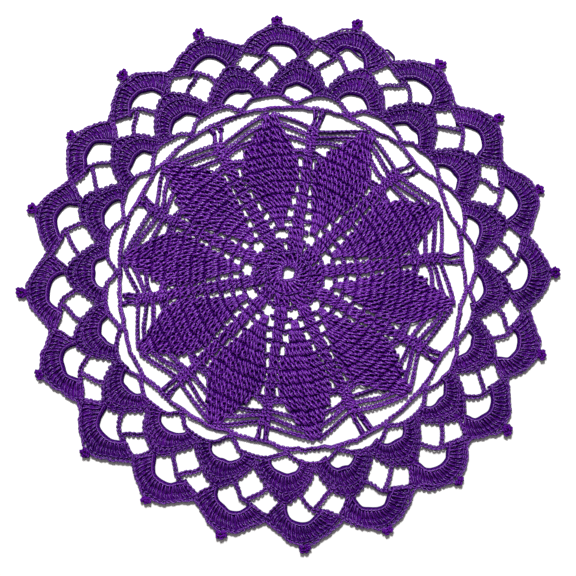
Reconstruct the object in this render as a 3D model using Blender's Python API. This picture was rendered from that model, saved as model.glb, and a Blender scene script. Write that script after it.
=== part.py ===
"""Round lace doily, crocheted in one piece from one cotton thread, lying flat.

Units are metres, +Z is up, and the origin is under the middle of the doily, on the
surface that it lies on. The solid is the whole piece of lace: a thin sheet, thicker where
the stitches are packed and thinner where only chains run, with every clear gap between
chains and stitches cut through.

Places in the pattern are given as a turn, in degrees, and a share of REACH. The flower has
ten petals between ten columns, 36 degrees apart in an even piece. The rounds outside it
have twenty fans, 18 degrees apart in an even piece. PETALS and FANS hold where hand work
and blocking have put each one, so that no two repeats are quite alike.
"""

import math
from collections import namedtuple

import bmesh
import bpy
from mathutils import Vector

# Driving sizes.
REACH = 0.120            # from the middle to the tip of an ordinary picot
EYE_SHARE = 0.021        # radius of the ring's hole
EYE_POINTS = 14
EDGE_SOFTENING = 0.00025  # how far the upper edge stands back from the lower one

# The inner rounds have slipped a little towards -Y under the outer ones.
DRIFT = 0.0012
DRIFT_FULL_SHARE = 0.37
DRIFT_GONE_SHARE = 0.62

# The outer rounds are pulled out or left short, fan by fan, from this share outwards.
SWELL_START_SHARE = 0.66
SWELL_FULL_SHARE = 0.78
SWELL_TURN = 5.4          # from the middle of an inner fan to where its own pull is full
# The outer arches stand off their even places from this share outwards.
SHEAR_START_SHARE = 0.76
SHEAR_FULL_SHARE = 0.85
# A petal leans more and more from this share to its tip.
LEAN_START_SHARE = 0.42
LEAN_FULL_SHARE = 0.60

EVEN_PETAL = 36.0
EVEN_FAN = 18.0
EVEN_ARCH_TURN = 4.65     # from the middle of an inner fan to that of the arch beyond it

# One row for each petal: the column before it, the middle of the long gap at its root,
# and how far its tip leans, all in degrees.
Petal = namedtuple("Petal", "column root lean")
PETALS = (
    Petal(6.2, 21.9, -0.4),
    Petal(43.2, 59.0, -0.8),
    Petal(80.4, 97.9, -2.5),
    Petal(118.6, 137.2, 2.2),
    Petal(154.9, 173.5, 3.0),
    Petal(190.5, 208.3, 0.3),
    Petal(225.6, 241.8, 0.6),
    Petal(261.2, 276.2, 1.2),
    Petal(294.9, 310.3, 1.8),
    Petal(330.4, 346.1, 0.3),
)

# One row for each scallop: the middle of its inner fan, of the arch beyond that fan, of its
# picot and of the valley after it, in degrees, then the picot's tip and the pull on the
# outer rounds, in shares of REACH.
Fan = namedtuple("Fan", "middle arch picot valley tip swell")
FANS = (
    Fan(13.2, 17.9, 18.6, 27.4, 1.003, 0.008),
    Fan(31.4, 36.3, 36.8, 45.0, 1.006, 0.007),
    Fan(49.9, 54.2, 54.4, 63.5, 1.013, 0.008),
    Fan(69.3, 74.0, 74.8, 83.5, 1.024, 0.014),
    Fan(87.2, 91.6, 92.5, 101.5, 0.999, 0.003),
    Fan(105.9, 110.5, 110.3, 120.5, 1.011, 0.001),
    Fan(124.7, 129.2, 129.6, 139.5, 1.011, 0.005),
    Fan(143.0, 147.6, 147.5, 157.0, 0.989, -0.005),
    Fan(161.7, 165.9, 165.8, 175.0, 0.997, -0.005),
    Fan(180.0, 184.5, 184.5, 193.6, 0.999, -0.006),
    Fan(198.4, 202.9, 202.6, 212.0, 0.987, -0.002),
    Fan(215.4, 221.2, 222.0, 231.0, 0.993, 0.001),
    Fan(233.0, 238.7, 238.4, 247.8, 0.975, -0.012),
    Fan(250.8, 256.0, 255.6, 264.5, 0.984, -0.008),
    Fan(268.9, 272.9, 273.2, 282.5, 1.002, 0.011),
    Fan(285.0, 290.2, 290.6, 300.5, 0.999, 0.012),
    Fan(301.8, 307.4, 308.5, 316.5, 0.975, -0.009),
    Fan(319.0, 324.3, 323.6, 333.5, 0.987, -0.010),
    Fan(337.3, 341.2, 341.7, 351.0, 0.984, -0.010),
    Fan(354.5, 359.4, 359.8, 368.4, 0.995, -0.004),
)

# The scalloped edge, from a valley up to the shoulder beside the picot, and the picot.
VALLEY_SHARE = 0.900
SHOULDER_SHARE = 0.966
SCALLOP_STEPS = 6
SCALLOP_ROUNDNESS = 1.5
EdgePoint = namedtuple("EdgePoint", "turn rise")
PICOT = (
    EdgePoint(-1.65, 0.00),
    EdgePoint(-1.45, 0.55),
    EdgePoint(-0.75, 0.95),
    EdgePoint(0.10, 1.00),
    EdgePoint(0.95, 0.85),
    EdgePoint(1.55, 0.45),
    EdgePoint(1.80, 0.00),
)

# Thickness of the lace over the radius, in metres.
Depth = namedtuple("Depth", "share thickness")
DEPTHS = (
    Depth(0.00, 0.0021),
    Depth(0.06, 0.0021),
    Depth(0.12, 0.0018),
    Depth(0.44, 0.0018),
    Depth(0.50, 0.0016),
    Depth(0.62, 0.0015),
    Depth(0.70, 0.0017),
    Depth(0.76, 0.0019),
    Depth(0.85, 0.0016),
    Depth(0.92, 0.0019),
    Depth(0.96, 0.0023),
    Depth(1.03, 0.0023),
)

# Small oval gaps between the stitches of the flower: the share at which each round's gaps
# lie, how far to each side of the petal's axis, and their half sizes, as shares of REACH.
Oval = namedtuple("Oval", "share aside half_width half_height points")
ROOT_GAP = Oval(0.1485, 0.0, 0.0205, 0.0158, 8)
PAIRED_GAPS = (
    Oval(0.1915, 7.8, 0.0130, 0.0105, 6),
    Oval(0.2350, 10.0, 0.0115, 0.0110, 6),
    Oval(0.2830, 12.3, 0.0090, 0.0135, 6),
)
COLUMN_GAP = Oval(0.4490, 3.5, 0.0130, 0.0195, 6)

# Corners of the gaps beside a column, as turns after it in an even piece. The first four
# lie after the column and the last four before the next one, counted outwards.
Corner = namedtuple("Corner", "turn share")
WEB_GAPS = (
    (Corner(1.0, 0.488), Corner(6.6, 0.477), Corner(9.5, 0.508), Corner(5.0, 0.505)),
    (Corner(1.2, 0.521), Corner(10.6, 0.518), Corner(12.6, 0.556), Corner(7.6, 0.547)),
    (Corner(0.8, 0.546), Corner(8.0, 0.560), Corner(14.9, 0.570), Corner(13.9, 0.597),
     Corner(7.0, 0.573)),
    (Corner(0.6, 0.571), Corner(9.0, 0.589), Corner(16.8, 0.617), Corner(10.0, 0.628),
     Corner(1.6, 0.634)),
    (Corner(35.0, 0.498), Corner(28.5, 0.474), Corner(26.1, 0.492), Corner(27.6, 0.519)),
    (Corner(34.6, 0.530), Corner(24.6, 0.523), Corner(21.8, 0.557), Corner(25.4, 0.566)),
    (Corner(19.9, 0.569), Corner(23.8, 0.575), Corner(22.6, 0.593), Corner(19.0, 0.606)),
    (Corner(33.6, 0.568), Corner(26.0, 0.582), Corner(17.8, 0.624), Corner(21.0, 0.636),
     Corner(33.0, 0.622)),
)

# Corners of the gaps of one outer repeat, as turns after the middle of its inner fan.
RING_GAPS = (
    # Between the plain chain round and the loops that carry the fans.
    (Corner(0.9, 0.658), Corner(9.0, 0.688), Corner(17.2, 0.661), Corner(9.0, 0.635)),
    # Under the arch of an inner fan.
    (Corner(0.0, 0.661), Corner(4.6, 0.686), Corner(3.1, 0.726), Corner(-3.0, 0.728),
     Corner(-4.6, 0.684)),
    # Between two inner fans.
    (Corner(9.4, 0.714), Corner(13.2, 0.775), Corner(8.0, 0.835), Corner(5.8, 0.779)),
    # Between a mesh chain, an inner fan and the valley of the edge.
    (Corner(16.8, 0.822), Corner(13.8, 0.872), Corner(10.2, 0.838), Corner(13.4, 0.795)),
    # Under the arch of an outer fan.
    (Corner(9.7, 0.863), Corner(5.4, 0.899), Corner(1.2, 0.880), Corner(0.2, 0.836),
     Corner(4.7, 0.796)),
)
CORNER_CUT = 0.23

VIOLET = (0.150, 0.045, 0.320, 1.0)
COTTON_ROUGHNESS = 0.72


def ramp(value, start, full):
    """Rises evenly from 0 at start to 1 at full."""
    return min(1.0, max(0.0, (value - start) / (full - start)))


def between(values, position):
    """Reads a round table of angles at a whole or broken row number."""
    count = len(values)
    row = math.floor(position)
    first = values[row % count] + 360.0 * (row // count)
    second = values[(row + 1) % count] + 360.0 * ((row + 1) // count)
    return first + (second - first) * (position - row)


def row_of(values, angle):
    """Finds the broken row number at which a round table of angles has this angle."""
    turned = (angle - values[0]) % 360.0 + values[0]
    row = max(index for index, value in enumerate(values) if value <= turned)
    first = values[row]
    second = values[row + 1] if row + 1 < len(values) else values[0] + 360.0
    return row + (turned - first) / (second - first)


FAN_ANGLES = tuple(fan.middle for fan in FANS)
COLUMN_ANGLES = tuple(petal.column for petal in PETALS)
SWELLS = tuple(fan.swell for fan in FANS)
ARCH_SHEARS = tuple(fan.arch - fan.middle - EVEN_ARCH_TURN for fan in FANS)


def eased(values, position):
    """Reads a round table of plain numbers at a broken row number, eased between rows."""
    row = math.floor(position)
    part = position - row
    part = part * part * (3.0 - 2.0 * part)
    first = values[row % len(values)]
    return first + (values[(row + 1) % len(values)] - first) * part


def swell_at(angle):
    """Pull on the outer rounds at an angle, in shares of REACH, eased from fan to fan."""
    return eased(SWELLS, row_of(FAN_ANGLES, angle) - SWELL_TURN / EVEN_FAN)


def point(angle, share):
    """Point of the lace at an angle in degrees and a share of REACH, drift included."""
    radius = share * REACH
    drift = DRIFT * (1.0 - ramp(share, DRIFT_FULL_SHARE, DRIFT_GONE_SHARE))
    turn = math.radians(angle)
    return Vector((radius * math.cos(turn), radius * math.sin(turn) - drift))


def flower_point(petal, turn, share):
    """Point of the flower, its turn counted from the column before a petal."""
    angle = between(COLUMN_ANGLES, petal + turn / EVEN_PETAL)
    lean = PETALS[petal].lean * ramp(share, LEAN_START_SHARE, LEAN_FULL_SHARE)
    return point(angle + lean * math.sin(math.pi * turn / EVEN_PETAL), share)


def ring_point(fan, turn, share):
    """Point of the outer rounds, its turn counted from the middle of an inner fan."""
    angle = between(FAN_ANGLES, fan + turn / EVEN_FAN)
    shear = eased(ARCH_SHEARS, fan + (turn - EVEN_ARCH_TURN) / EVEN_FAN)
    angle += shear * ramp(share, SHEAR_START_SHARE, SHEAR_FULL_SHARE)
    pull = swell_at(angle) * ramp(share, SWELL_START_SHARE, SWELL_FULL_SHARE)
    return point(angle, share + pull)


def softened(corners):
    """Cuts each corner of a closed outline back to two points, one on each side of it."""
    outline = []
    for index, corner in enumerate(corners):
        before = corners[index - 1]
        after = corners[(index + 1) % len(corners)]
        outline.append(corner.lerp(before, CORNER_CUT))
        outline.append(corner.lerp(after, CORNER_CUT))
    return outline


def oval_gap(angle, oval):
    """Outline of an oval gap, its height along the radius."""
    middle = point(angle, oval.share)
    outwards = Vector((math.cos(math.radians(angle)), math.sin(math.radians(angle))))
    sideways = Vector((-outwards.y, outwards.x))
    outline = []
    for step in range(oval.points):
        turn = math.tau * (step + 0.5) / oval.points
        offset = sideways * oval.half_width * math.cos(turn)
        offset += outwards * oval.half_height * math.sin(turn)
        outline.append(middle + offset * REACH)
    return outline


def flower_gaps():
    """Gaps of the ring, the petals and the columns."""
    gaps = [[point(360.0 * step / EYE_POINTS, EYE_SHARE) for step in range(EYE_POINTS)]]
    for row, petal in enumerate(PETALS):
        before = petal.column
        after = between(COLUMN_ANGLES, row + 1)
        axis = 0.5 * (petal.root + 0.5 * (before + after))
        gaps.append(oval_gap(petal.root, ROOT_GAP))
        for side in (-1.0, 1.0):
            for oval in PAIRED_GAPS:
                gaps.append(oval_gap(axis + side * oval.aside, oval))
            gaps.append(oval_gap(before + side * COLUMN_GAP.aside, COLUMN_GAP))
        for corners in WEB_GAPS:
            gaps.append(softened([flower_point(row, *corner) for corner in corners]))
    return gaps


def ring_gaps():
    """Gaps of the chain rounds, the fans and the mesh between them."""
    gaps = []
    for row in range(len(FANS)):
        for corners in RING_GAPS:
            gaps.append(softened([ring_point(row, *corner) for corner in corners]))
    return gaps


def scallop_side(valley_angle, picot_angle):
    """Edge from a valley up to the foot of a picot, with the valley and without the foot."""
    foot = picot_angle + (PICOT[0].turn if picot_angle > valley_angle else PICOT[-1].turn)
    side = []
    for step in range(SCALLOP_STEPS):
        along = step / SCALLOP_STEPS
        angle = valley_angle + (foot - valley_angle) * along
        rise = math.sin(0.5 * math.pi * along) ** SCALLOP_ROUNDNESS
        share = VALLEY_SHARE + (SHOULDER_SHARE - VALLEY_SHARE) * rise
        side.append(point(angle, share + swell_at(angle)))
    return side


def edge_outline():
    """Scalloped outer edge: up one side of each scallop, over its picot and down again."""
    outline = []
    for row, fan in enumerate(FANS):
        start = FANS[row - 1].valley - (360.0 if row == 0 else 0.0)
        outline += scallop_side(start, fan.picot)
        shoulder = SHOULDER_SHARE + swell_at(fan.picot)
        for turn, rise in PICOT:
            outline.append(point(fan.picot + turn, shoulder + (fan.tip - shoulder) * rise))
        outline += reversed(scallop_side(fan.valley, fan.picot)[1:])
    return outline


def thickness(place):
    """Thickness of the lace at a place, read from DEPTHS."""
    share = place.length / REACH
    for inner, outer in zip(DEPTHS, DEPTHS[1:]):
        if share <= outer.share:
            part = ramp(share, inner.share, outer.share)
            return inner.thickness + (outer.thickness - inner.thickness) * part
    return DEPTHS[-1].thickness


def area(outline):
    """Signed area of a closed outline, positive where it runs anticlockwise."""
    return 0.5 * sum(a.cross(b) for a, b in zip(outline, outline[1:] + outline[:1]))


def stood_back(outline, into_lace):
    """The outline moved sideways by EDGE_SOFTENING, into the lace."""
    moved = []
    for index, place in enumerate(outline):
        along = outline[(index + 1) % len(outline)] - outline[index - 1]
        left = Vector((-along.y, along.x)).normalized()
        moved.append(place + left * EDGE_SOFTENING * into_lace)
    return moved


def lace_mesh(name):
    """Closed sheet between the edge and the gaps, flat below and softened above."""
    sheet = bmesh.new()
    upper_places = {}
    for number, outline in enumerate([edge_outline()] + flower_gaps() + ring_gaps()):
        anticlockwise = 1.0 if area(outline) > 0.0 else -1.0
        into_lace = anticlockwise if number == 0 else -anticlockwise
        loop = [sheet.verts.new((*place, 0.0)) for place in outline]
        for index, vertex in enumerate(loop):
            sheet.edges.new((loop[index - 1], vertex))
        upper_places.update(zip(loop, stood_back(outline, into_lace)))

    bmesh.ops.triangle_fill(sheet, edges=sheet.edges[:], use_beauty=True)
    lower_faces = sheet.faces[:]
    upper = {}
    for vertex, place in upper_places.items():
        upper[vertex] = sheet.verts.new((*place, thickness(place)))
    for edge in [edge for edge in sheet.edges if edge.is_boundary]:
        start, end = edge.verts
        sheet.faces.new((start, end, upper[end]))
        sheet.faces.new((start, upper[end], upper[start]))
    for face in lower_faces:
        sheet.faces.new([upper[vertex] for vertex in face.verts])
    bmesh.ops.recalc_face_normals(sheet, faces=sheet.faces)
    mesh = bpy.data.meshes.new(name)
    sheet.to_mesh(mesh)
    sheet.free()
    return mesh


def violet_cotton():
    """Smooth twisted cotton thread, dyed violet."""
    material = bpy.data.materials.new("violet_cotton")
    material.use_nodes = True
    shader = material.node_tree.nodes["Principled BSDF"]
    shader.inputs["Base Color"].default_value = VIOLET
    shader.inputs["Roughness"].default_value = COTTON_ROUGHNESS
    shader.inputs["Metallic"].default_value = 0.0
    return material


def make_doily():
    """The whole piece of lace, one closed body."""
    mesh = lace_mesh("doily")
    mesh.materials.append(violet_cotton())
    doily = bpy.data.objects.new("doily", mesh)
    bpy.context.scene.collection.objects.link(doily)
    return doily


def main():
    """Clears the scene and models the doily."""
    for leftover in list(bpy.data.objects):
        bpy.data.objects.remove(leftover, do_unlink=True)
    make_doily()


main()
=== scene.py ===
"""Looks of the crocheted lace doily: every stitch and chain as real thread, and the studio.

The lace is laid out as in the solid: a place is a turn, in degrees, and a share of the reach.
Rows of stitches lie in strips, each between a lower and an upper line. A stitch is a few
bends of thread, read along the strip, up it and out of its plane, and carried round as a
tube. Chains are one looping thread that follows a line. Lengths are in metres.
"""

import logging
import math
from dataclasses import dataclass, replace
from enum import Enum
from functools import partial
from typing import Callable, NamedTuple, Sequence

import bpy
import numpy as np
from bpy.types import Material, Node, NodeSocket, NodeTree, Object
from numpy.random import Generator, default_rng
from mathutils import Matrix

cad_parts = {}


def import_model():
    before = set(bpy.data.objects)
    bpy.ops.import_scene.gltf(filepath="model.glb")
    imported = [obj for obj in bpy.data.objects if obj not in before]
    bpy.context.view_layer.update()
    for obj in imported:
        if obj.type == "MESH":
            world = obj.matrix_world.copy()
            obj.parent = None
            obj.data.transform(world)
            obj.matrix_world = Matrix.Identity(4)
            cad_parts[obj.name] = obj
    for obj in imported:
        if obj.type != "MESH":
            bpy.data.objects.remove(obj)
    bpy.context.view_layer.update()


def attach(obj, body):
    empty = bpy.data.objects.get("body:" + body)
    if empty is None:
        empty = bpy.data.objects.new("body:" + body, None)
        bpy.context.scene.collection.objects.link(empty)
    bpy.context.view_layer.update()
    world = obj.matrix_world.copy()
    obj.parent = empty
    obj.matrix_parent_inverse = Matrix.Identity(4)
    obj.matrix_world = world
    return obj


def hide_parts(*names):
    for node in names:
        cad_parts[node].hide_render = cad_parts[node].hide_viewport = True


LOG = logging.getLogger("doily")
CAD_NODE = "doily"
BODY = "root"
FULL_TURN = 360.0
TINY = 1e-12
UPWARDS = np.array([0.0, 0.0, 1.0])

Placing = Callable[[np.ndarray, np.ndarray | float], np.ndarray]


class Along(NamedTuple):
    """One point of a line: its turn, in degrees, and its share of the reach."""

    turn: float
    share: float


class Petal(NamedTuple):
    """Column before a petal, the middle of the gap at its root and its tip's lean.

    The column ends in a post of two stitches: its middle's turn, and half the gap in it.
    """

    column: float
    root: float
    lean: float
    post: float
    split: float


class Fan(NamedTuple):
    """Angles of an inner fan, its arch, picot and valley, the tip's share and three pulls.

    The swell pulls the outer rounds, and knot and slack pull the plain chain round at the
    middle of the fan and half way to the next one.
    """

    middle: float
    arch: float
    picot: float
    valley: float
    tip: float
    swell: float
    knot: float
    slack: float


PETALS = (
    Petal(6.2, 21.9, -0.4, -1.5, 0.1),
    Petal(43.2, 59.0, -0.8, -2.45, 0.7),
    Petal(80.4, 97.9, -2.5, -1.0, 0.1),
    Petal(118.6, 137.2, 2.2, -1.95, 0.5),
    Petal(154.9, 173.5, 3.0, -1.7, 0.1),
    Petal(190.5, 208.3, 0.3, -1.25, 0.1),
    Petal(225.6, 241.8, 0.6, -0.95, 0.3),
    Petal(261.2, 276.2, 1.2, -0.7, 0.35),
    Petal(294.9, 310.3, 1.8, 0.35, 0.1),
    Petal(330.4, 346.1, 0.3, -0.9, 0.25),
)

FANS = (
    Fan(13.2, 17.9, 18.6, 27.4, 1.003, 0.008, 0.009, 0.008),
    Fan(31.4, 36.3, 36.8, 45.0, 1.006, 0.007, 0.012, 0.003),
    Fan(49.9, 54.2, 54.4, 63.5, 1.013, 0.008, 0.006, 0.002),
    Fan(69.3, 74.0, 74.8, 83.5, 1.024, 0.014, -0.003, 0.007),
    Fan(87.2, 91.6, 92.5, 101.5, 0.999, 0.003, -0.005, 0.005),
    Fan(105.9, 110.5, 110.3, 120.5, 1.011, 0.001, -0.004, 0.000),
    Fan(124.7, 129.2, 129.6, 139.5, 1.011, 0.005, -0.011, -0.005),
    Fan(143.0, 147.6, 147.5, 157.0, 0.989, -0.005, -0.012, -0.009),
    Fan(161.7, 165.9, 165.8, 175.0, 0.997, -0.005, -0.007, 0.000),
    Fan(180.0, 184.5, 184.5, 193.6, 0.999, -0.006, -0.017, -0.001),
    Fan(198.4, 202.9, 202.6, 212.0, 0.987, -0.002, -0.005, 0.018),
    Fan(215.4, 221.2, 222.0, 231.0, 0.993, 0.001, 0.009, 0.003),
    Fan(233.0, 238.7, 238.4, 247.8, 0.975, -0.012, -0.011, -0.004),
    Fan(250.8, 256.0, 255.6, 264.5, 0.984, -0.008, -0.022, -0.010),
    Fan(268.9, 272.9, 273.2, 282.5, 1.002, 0.011, 0.000, 0.015),
    Fan(285.0, 290.2, 290.6, 300.5, 0.999, 0.012, 0.012, 0.020),
    Fan(301.8, 307.4, 308.5, 316.5, 0.975, -0.009, 0.008, 0.014),
    Fan(319.0, 324.3, 323.6, 333.5, 0.987, -0.010, 0.000, 0.004),
    Fan(337.3, 341.2, 341.7, 351.0, 0.984, -0.010, 0.010, 0.014),
    Fan(354.5, 359.4, 359.8, 368.4, 0.995, -0.004, 0.012, 0.011),
)


class Tug(NamedTuple):
    """Part of the work that lies a little aside: its middle, half sizes and shift."""

    x: float
    y: float
    wide: float
    deep: float
    aside: float
    ahead: float


TUGS = (
    Tug(-0.080, -0.005, 0.019, 0.048, 0.00115, 0.0),
    Tug(0.001, -0.092, 0.060, 0.021, 0.00095, 0.00030),
    Tug(-0.002, 0.002, 0.026, 0.026, 0.00015, 0.00080),
    Tug(0.055, -0.002, 0.013, 0.026, 0.00100, 0.0),
    Tug(0.082, -0.030, 0.022, 0.026, -0.00030, 0.00070),
    Tug(-0.043, -0.012, 0.015, 0.030, -0.00070, 0.00050),
    Tug(-0.078, -0.058, 0.018, 0.018, 0.00050, 0.0),
    Tug(-0.048, 0.080, 0.034, 0.020, 0.00042, -0.00022),
    Tug(0.063, 0.052, 0.020, 0.020, -0.00035, -0.00040),
    Tug(0.068, -0.068, 0.022, 0.018, 0.00035, 0.00040),
)


def ramp(value: np.ndarray, start: float, full: float) -> np.ndarray:
    """Share of the way from start to full, from 0 to 1: (value - start) / (full - start)."""
    return np.clip((np.asarray(value, float) - start) / (full - start), 0.0, 1.0)


def unit(vectors: np.ndarray) -> np.ndarray:
    """Vectors on the last axis made one long: each divided by its own length."""
    return vectors / np.maximum(np.linalg.norm(vectors, axis=-1, keepdims=True), TINY)


class RoundTable:
    """Angles of one repeat after another, read right round the doily at broken row numbers."""

    def __init__(self, angles: Sequence[float]) -> None:
        """Extends the table by one turn each way.

        Args:
            angles: One rising angle for each repeat, in degrees.
        """
        once = np.asarray(angles, float)
        self.count = len(once)
        self.rows = np.arange(-self.count, 2 * self.count)
        self.turns = np.concatenate([once - FULL_TURN, once, once + FULL_TURN])

    def angle(self, position: np.ndarray) -> np.ndarray:
        """Angle at a broken row number: a straight line between two rows."""
        return np.interp(position, self.rows, self.turns)

    def position(self, angle: np.ndarray) -> np.ndarray:
        """Broken row number at an angle, the other way round."""
        return np.interp(angle, self.turns, self.rows)


def eased(values: Sequence[float], position: np.ndarray) -> np.ndarray:
    """Round table of plain numbers, eased from row to row by 3p^2 - 2p^3.

    Args:
        values: One number for each repeat.
        position: Broken row numbers.

    Returns:
        The eased numbers, of the same shape as position.
    """
    table = np.asarray(values, float)
    row = np.floor(position).astype(int)
    part = position - row
    part = part * part * (3.0 - 2.0 * part)
    first = table[row % len(table)]
    second = table[(row + 1) % len(table)]
    return first + (second - first) * part


@dataclass(frozen=True)
class Pattern:
    """The doily's layout, with the slips, pulls and leans that hand work has left in it.

    What has a start and a full grows between these shares of the reach. In an even piece
    there are even_petal degrees from petal to petal, even_fan from fan to fan and even_arch
    from a fan to its arch.
    """

    reach: float = 0.120
    drift: float = 0.0012
    drift_full: float = 0.37
    drift_gone: float = 0.62
    swell_start: float = 0.66
    swell_full: float = 0.78
    swell_turn: float = 5.4
    shear_start: float = 0.76
    shear_full: float = 0.85
    lean_start: float = 0.42
    lean_full: float = 0.60
    even_petal: float = 36.0
    even_fan: float = 18.0
    even_arch: float = 4.65
    swirl_shares: tuple[float, ...] = (0.06, 0.16, 0.19, 0.285, 0.40)
    swirl_parts: tuple[float, ...] = (1.0, 1.0, 0.5, 0.5, 0.0)
    wander: float = 0.00022
    wander_waves: tuple[float, float, float] = (610.0, 1130.0, 1870.0)

    def stray(self, x: np.ndarray, y: np.ndarray) -> np.ndarray:
        """Small unevenness of the hand at a place, from slow, middling and quick waves.

        To the side it is sin(slow y + 1.3) + sin(middling y - 0.6 slow x) and 0.6 times
        sin(quick x + 0.8 quick y); ahead it is sin(slow x - 0.7) + sin(middling x + 0.5 slow y
        + 2) and 0.6 times sin(quick y - 0.7 quick x + 1); both are then times wander.

        Args:
            x: Places across.
            y: Places ahead.

        Returns:
            Array with the two shifts on its last axis.
        """
        slow, middling, quick = self.wander_waves
        aside = np.sin(slow * y + 1.3) + np.sin(middling * y - 0.6 * slow * x)
        aside = aside + 0.6 * np.sin(quick * x + 0.8 * quick * y)
        ahead = np.sin(slow * x - 0.7) + np.sin(middling * x + 0.5 * slow * y + 2.0)
        ahead = ahead + 0.6 * np.sin(quick * y - 0.7 * quick * x + 1.0)
        return self.wander * np.stack([aside, ahead], axis=-1)

    def spot(self, angle: np.ndarray, share: np.ndarray) -> np.ndarray:
        """Place at an angle and a share of the reach, slipped towards -Y near the middle.

        The hand's unevenness is added, and each of TUGS adds its shift times exp(-d^2 / 2),
        with d the distance from its middle in half sizes.

        Args:
            angle: Angles in degrees.
            share: Shares of the reach.

        Returns:
            Array with x and y on its last axis.
        """
        turn = np.radians(angle)
        radius = np.asarray(share, float) * self.reach
        slip = self.drift * (1.0 - ramp(share, self.drift_full, self.drift_gone))
        x, y = radius * np.cos(turn), radius * np.sin(turn)
        place = np.stack([x, y], axis=-1) + self.stray(x, y)
        place[..., 1] -= slip
        for tug in TUGS:
            far = ((x - tug.x) / tug.wide) ** 2 + ((y - tug.y) / tug.deep) ** 2
            place = place + np.exp(-0.5 * far)[..., None] * np.array([tug.aside, tug.ahead])
        return place

    def swirl(self, position: np.ndarray) -> np.ndarray:
        """How far the rounds near the ring are turned against the columns, in degrees.

        At the middle of a petal it is the gap at its root less the middle between its two
        columns, and it is eased from petal to petal.

        Args:
            position: Broken petal numbers, whole at the columns.

        Returns:
            Angles in degrees.
        """
        columns = RoundTable([petal.column for petal in PETALS])
        middles = columns.angle(np.arange(len(PETALS)) + 0.5)
        offs = np.array([petal.root for petal in PETALS]) - middles
        return eased(offs, np.asarray(position, float) - 0.5)

    def flower(self, petal: int, turn: np.ndarray, share: np.ndarray) -> np.ndarray:
        """Place in the flower, its turn counted from the column before a petal.

        The angle runs straight from column to column. The swirl is added in the part that
        swirl_parts gives for the share, and the petal's lean times a half sine of the turn.

        Args:
            petal: Row of PETALS.
            turn: Degrees after the column in an even piece, 36 to the next column.
            share: Shares of the reach.

        Returns:
            Array with x and y on its last axis.
        """
        turn, share = np.broadcast_arrays(np.asarray(turn, float), np.asarray(share, float))
        position = petal + turn / self.even_petal
        columns = RoundTable([row.column for row in PETALS])
        lean = PETALS[petal].lean * ramp(share, self.lean_start, self.lean_full)
        fade = np.interp(share, self.swirl_shares, self.swirl_parts)
        angle = columns.angle(position) + self.swirl(position) * fade
        inside = np.clip(turn / self.even_petal, 0.0, 1.0)
        return self.spot(angle + lean * np.sin(math.pi * inside), share)

    def pull(self, angle: np.ndarray) -> np.ndarray:
        """Pull on the outer rounds, eased from fan to fan.

        Args:
            angle: Angles in degrees.

        Returns:
            Pulls in shares of the reach.
        """
        fans = RoundTable([fan.middle for fan in FANS])
        position = fans.position(angle) - self.swell_turn / self.even_fan
        return eased([fan.swell for fan in FANS], position)

    def ring(self, fan: int, turn: np.ndarray, share: np.ndarray) -> np.ndarray:
        """Place in the outer rounds, its turn counted from the middle of an inner fan.

        The angle runs straight from fan to fan, sheared outwards to the middles of the arches,
        and the share is moved by the pull.

        Args:
            fan: Row of FANS.
            turn: Degrees after the fan's middle in an even piece, 18 to the next fan.
            share: Shares of the reach.

        Returns:
            Array with x and y on its last axis.
        """
        turn, share = np.broadcast_arrays(np.asarray(turn, float), np.asarray(share, float))
        fans = RoundTable([row.middle for row in FANS])
        shears = [row.arch - row.middle - self.even_arch for row in FANS]
        angle = fans.angle(fan + turn / self.even_fan)
        shear = eased(shears, fan + (turn - self.even_arch) / self.even_fan)
        angle = angle + shear * ramp(share, self.shear_start, self.shear_full)
        pull = self.pull(angle) * ramp(share, self.swell_start, self.swell_full)
        return self.spot(angle, share + pull)


PATTERN = Pattern()

LINE_POINTS = 48
GUIDE_POINTS = 12  # for each corner of a line, before they are spaced evenly
ROW_POINTS = 12
POST_POINTS = 6


def length_of(line: np.ndarray) -> float:
    """Length of a line: the sum of the steps between its points."""
    return float(np.linalg.norm(np.diff(line, axis=0), axis=1).sum())


def smooth_line(corners: np.ndarray, samples: int = LINE_POINTS) -> np.ndarray:
    """Smooth line through corners, its points evenly spaced along it.

    Between two corners it is the cubic whose slope at each corner is half the step from the
    corner before to the corner after.

    Args:
        corners: Places the line goes through, a row for each.
        samples: Points on the finished line.

    Returns:
        Array of samples rows.
    """
    corners = np.asarray(corners, float)
    before = 2.0 * corners[:1] - corners[1:2]
    after = 2.0 * corners[-1:] - corners[-2:-1]
    guide = np.vstack([before, corners, after])
    along = np.linspace(0.0, len(corners) - 1.0, GUIDE_POINTS * len(corners))
    row = np.minimum(along.astype(int), len(corners) - 2)
    part = (along - row)[:, None]
    p0, p1, p2, p3 = (guide[row + step] for step in range(4))
    line = 0.5 * (
        2.0 * p1
        + (p2 - p0) * part
        + (2.0 * p0 - 5.0 * p1 + 4.0 * p2 - p3) * part**2
        + (3.0 * p1 - p0 - 3.0 * p2 + p3) * part**3
    )
    steps = np.linalg.norm(np.diff(line, axis=0), axis=1)
    lengths = np.concatenate([[0.0], np.cumsum(steps)])
    even = np.linspace(0.0, lengths[-1], samples)
    return np.stack([np.interp(even, lengths, column) for column in line.T], axis=-1)


def read_line(line: np.ndarray, along: np.ndarray) -> np.ndarray:
    """Point of a line at a share of its length: (1 - p) a + p b between points a and b.

    Beyond its ends the line runs on straight.

    Args:
        line: Evenly spaced points.
        along: Shares of the length.

    Returns:
        Array with the points on its last axis.
    """
    scaled = np.asarray(along, float) * (len(line) - 1)
    row = np.clip(np.floor(scaled).astype(int), 0, len(line) - 2)
    part = (scaled - row)[..., None]
    return line[row] * (1.0 - part) + line[row + 1] * part


def route(place: Placing, points: Sequence[Along]) -> np.ndarray:
    """Smooth line through points, after place has put their turns and shares in place."""
    turns, shares = np.array(points).T
    return smooth_line(place(turns, shares))


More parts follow.
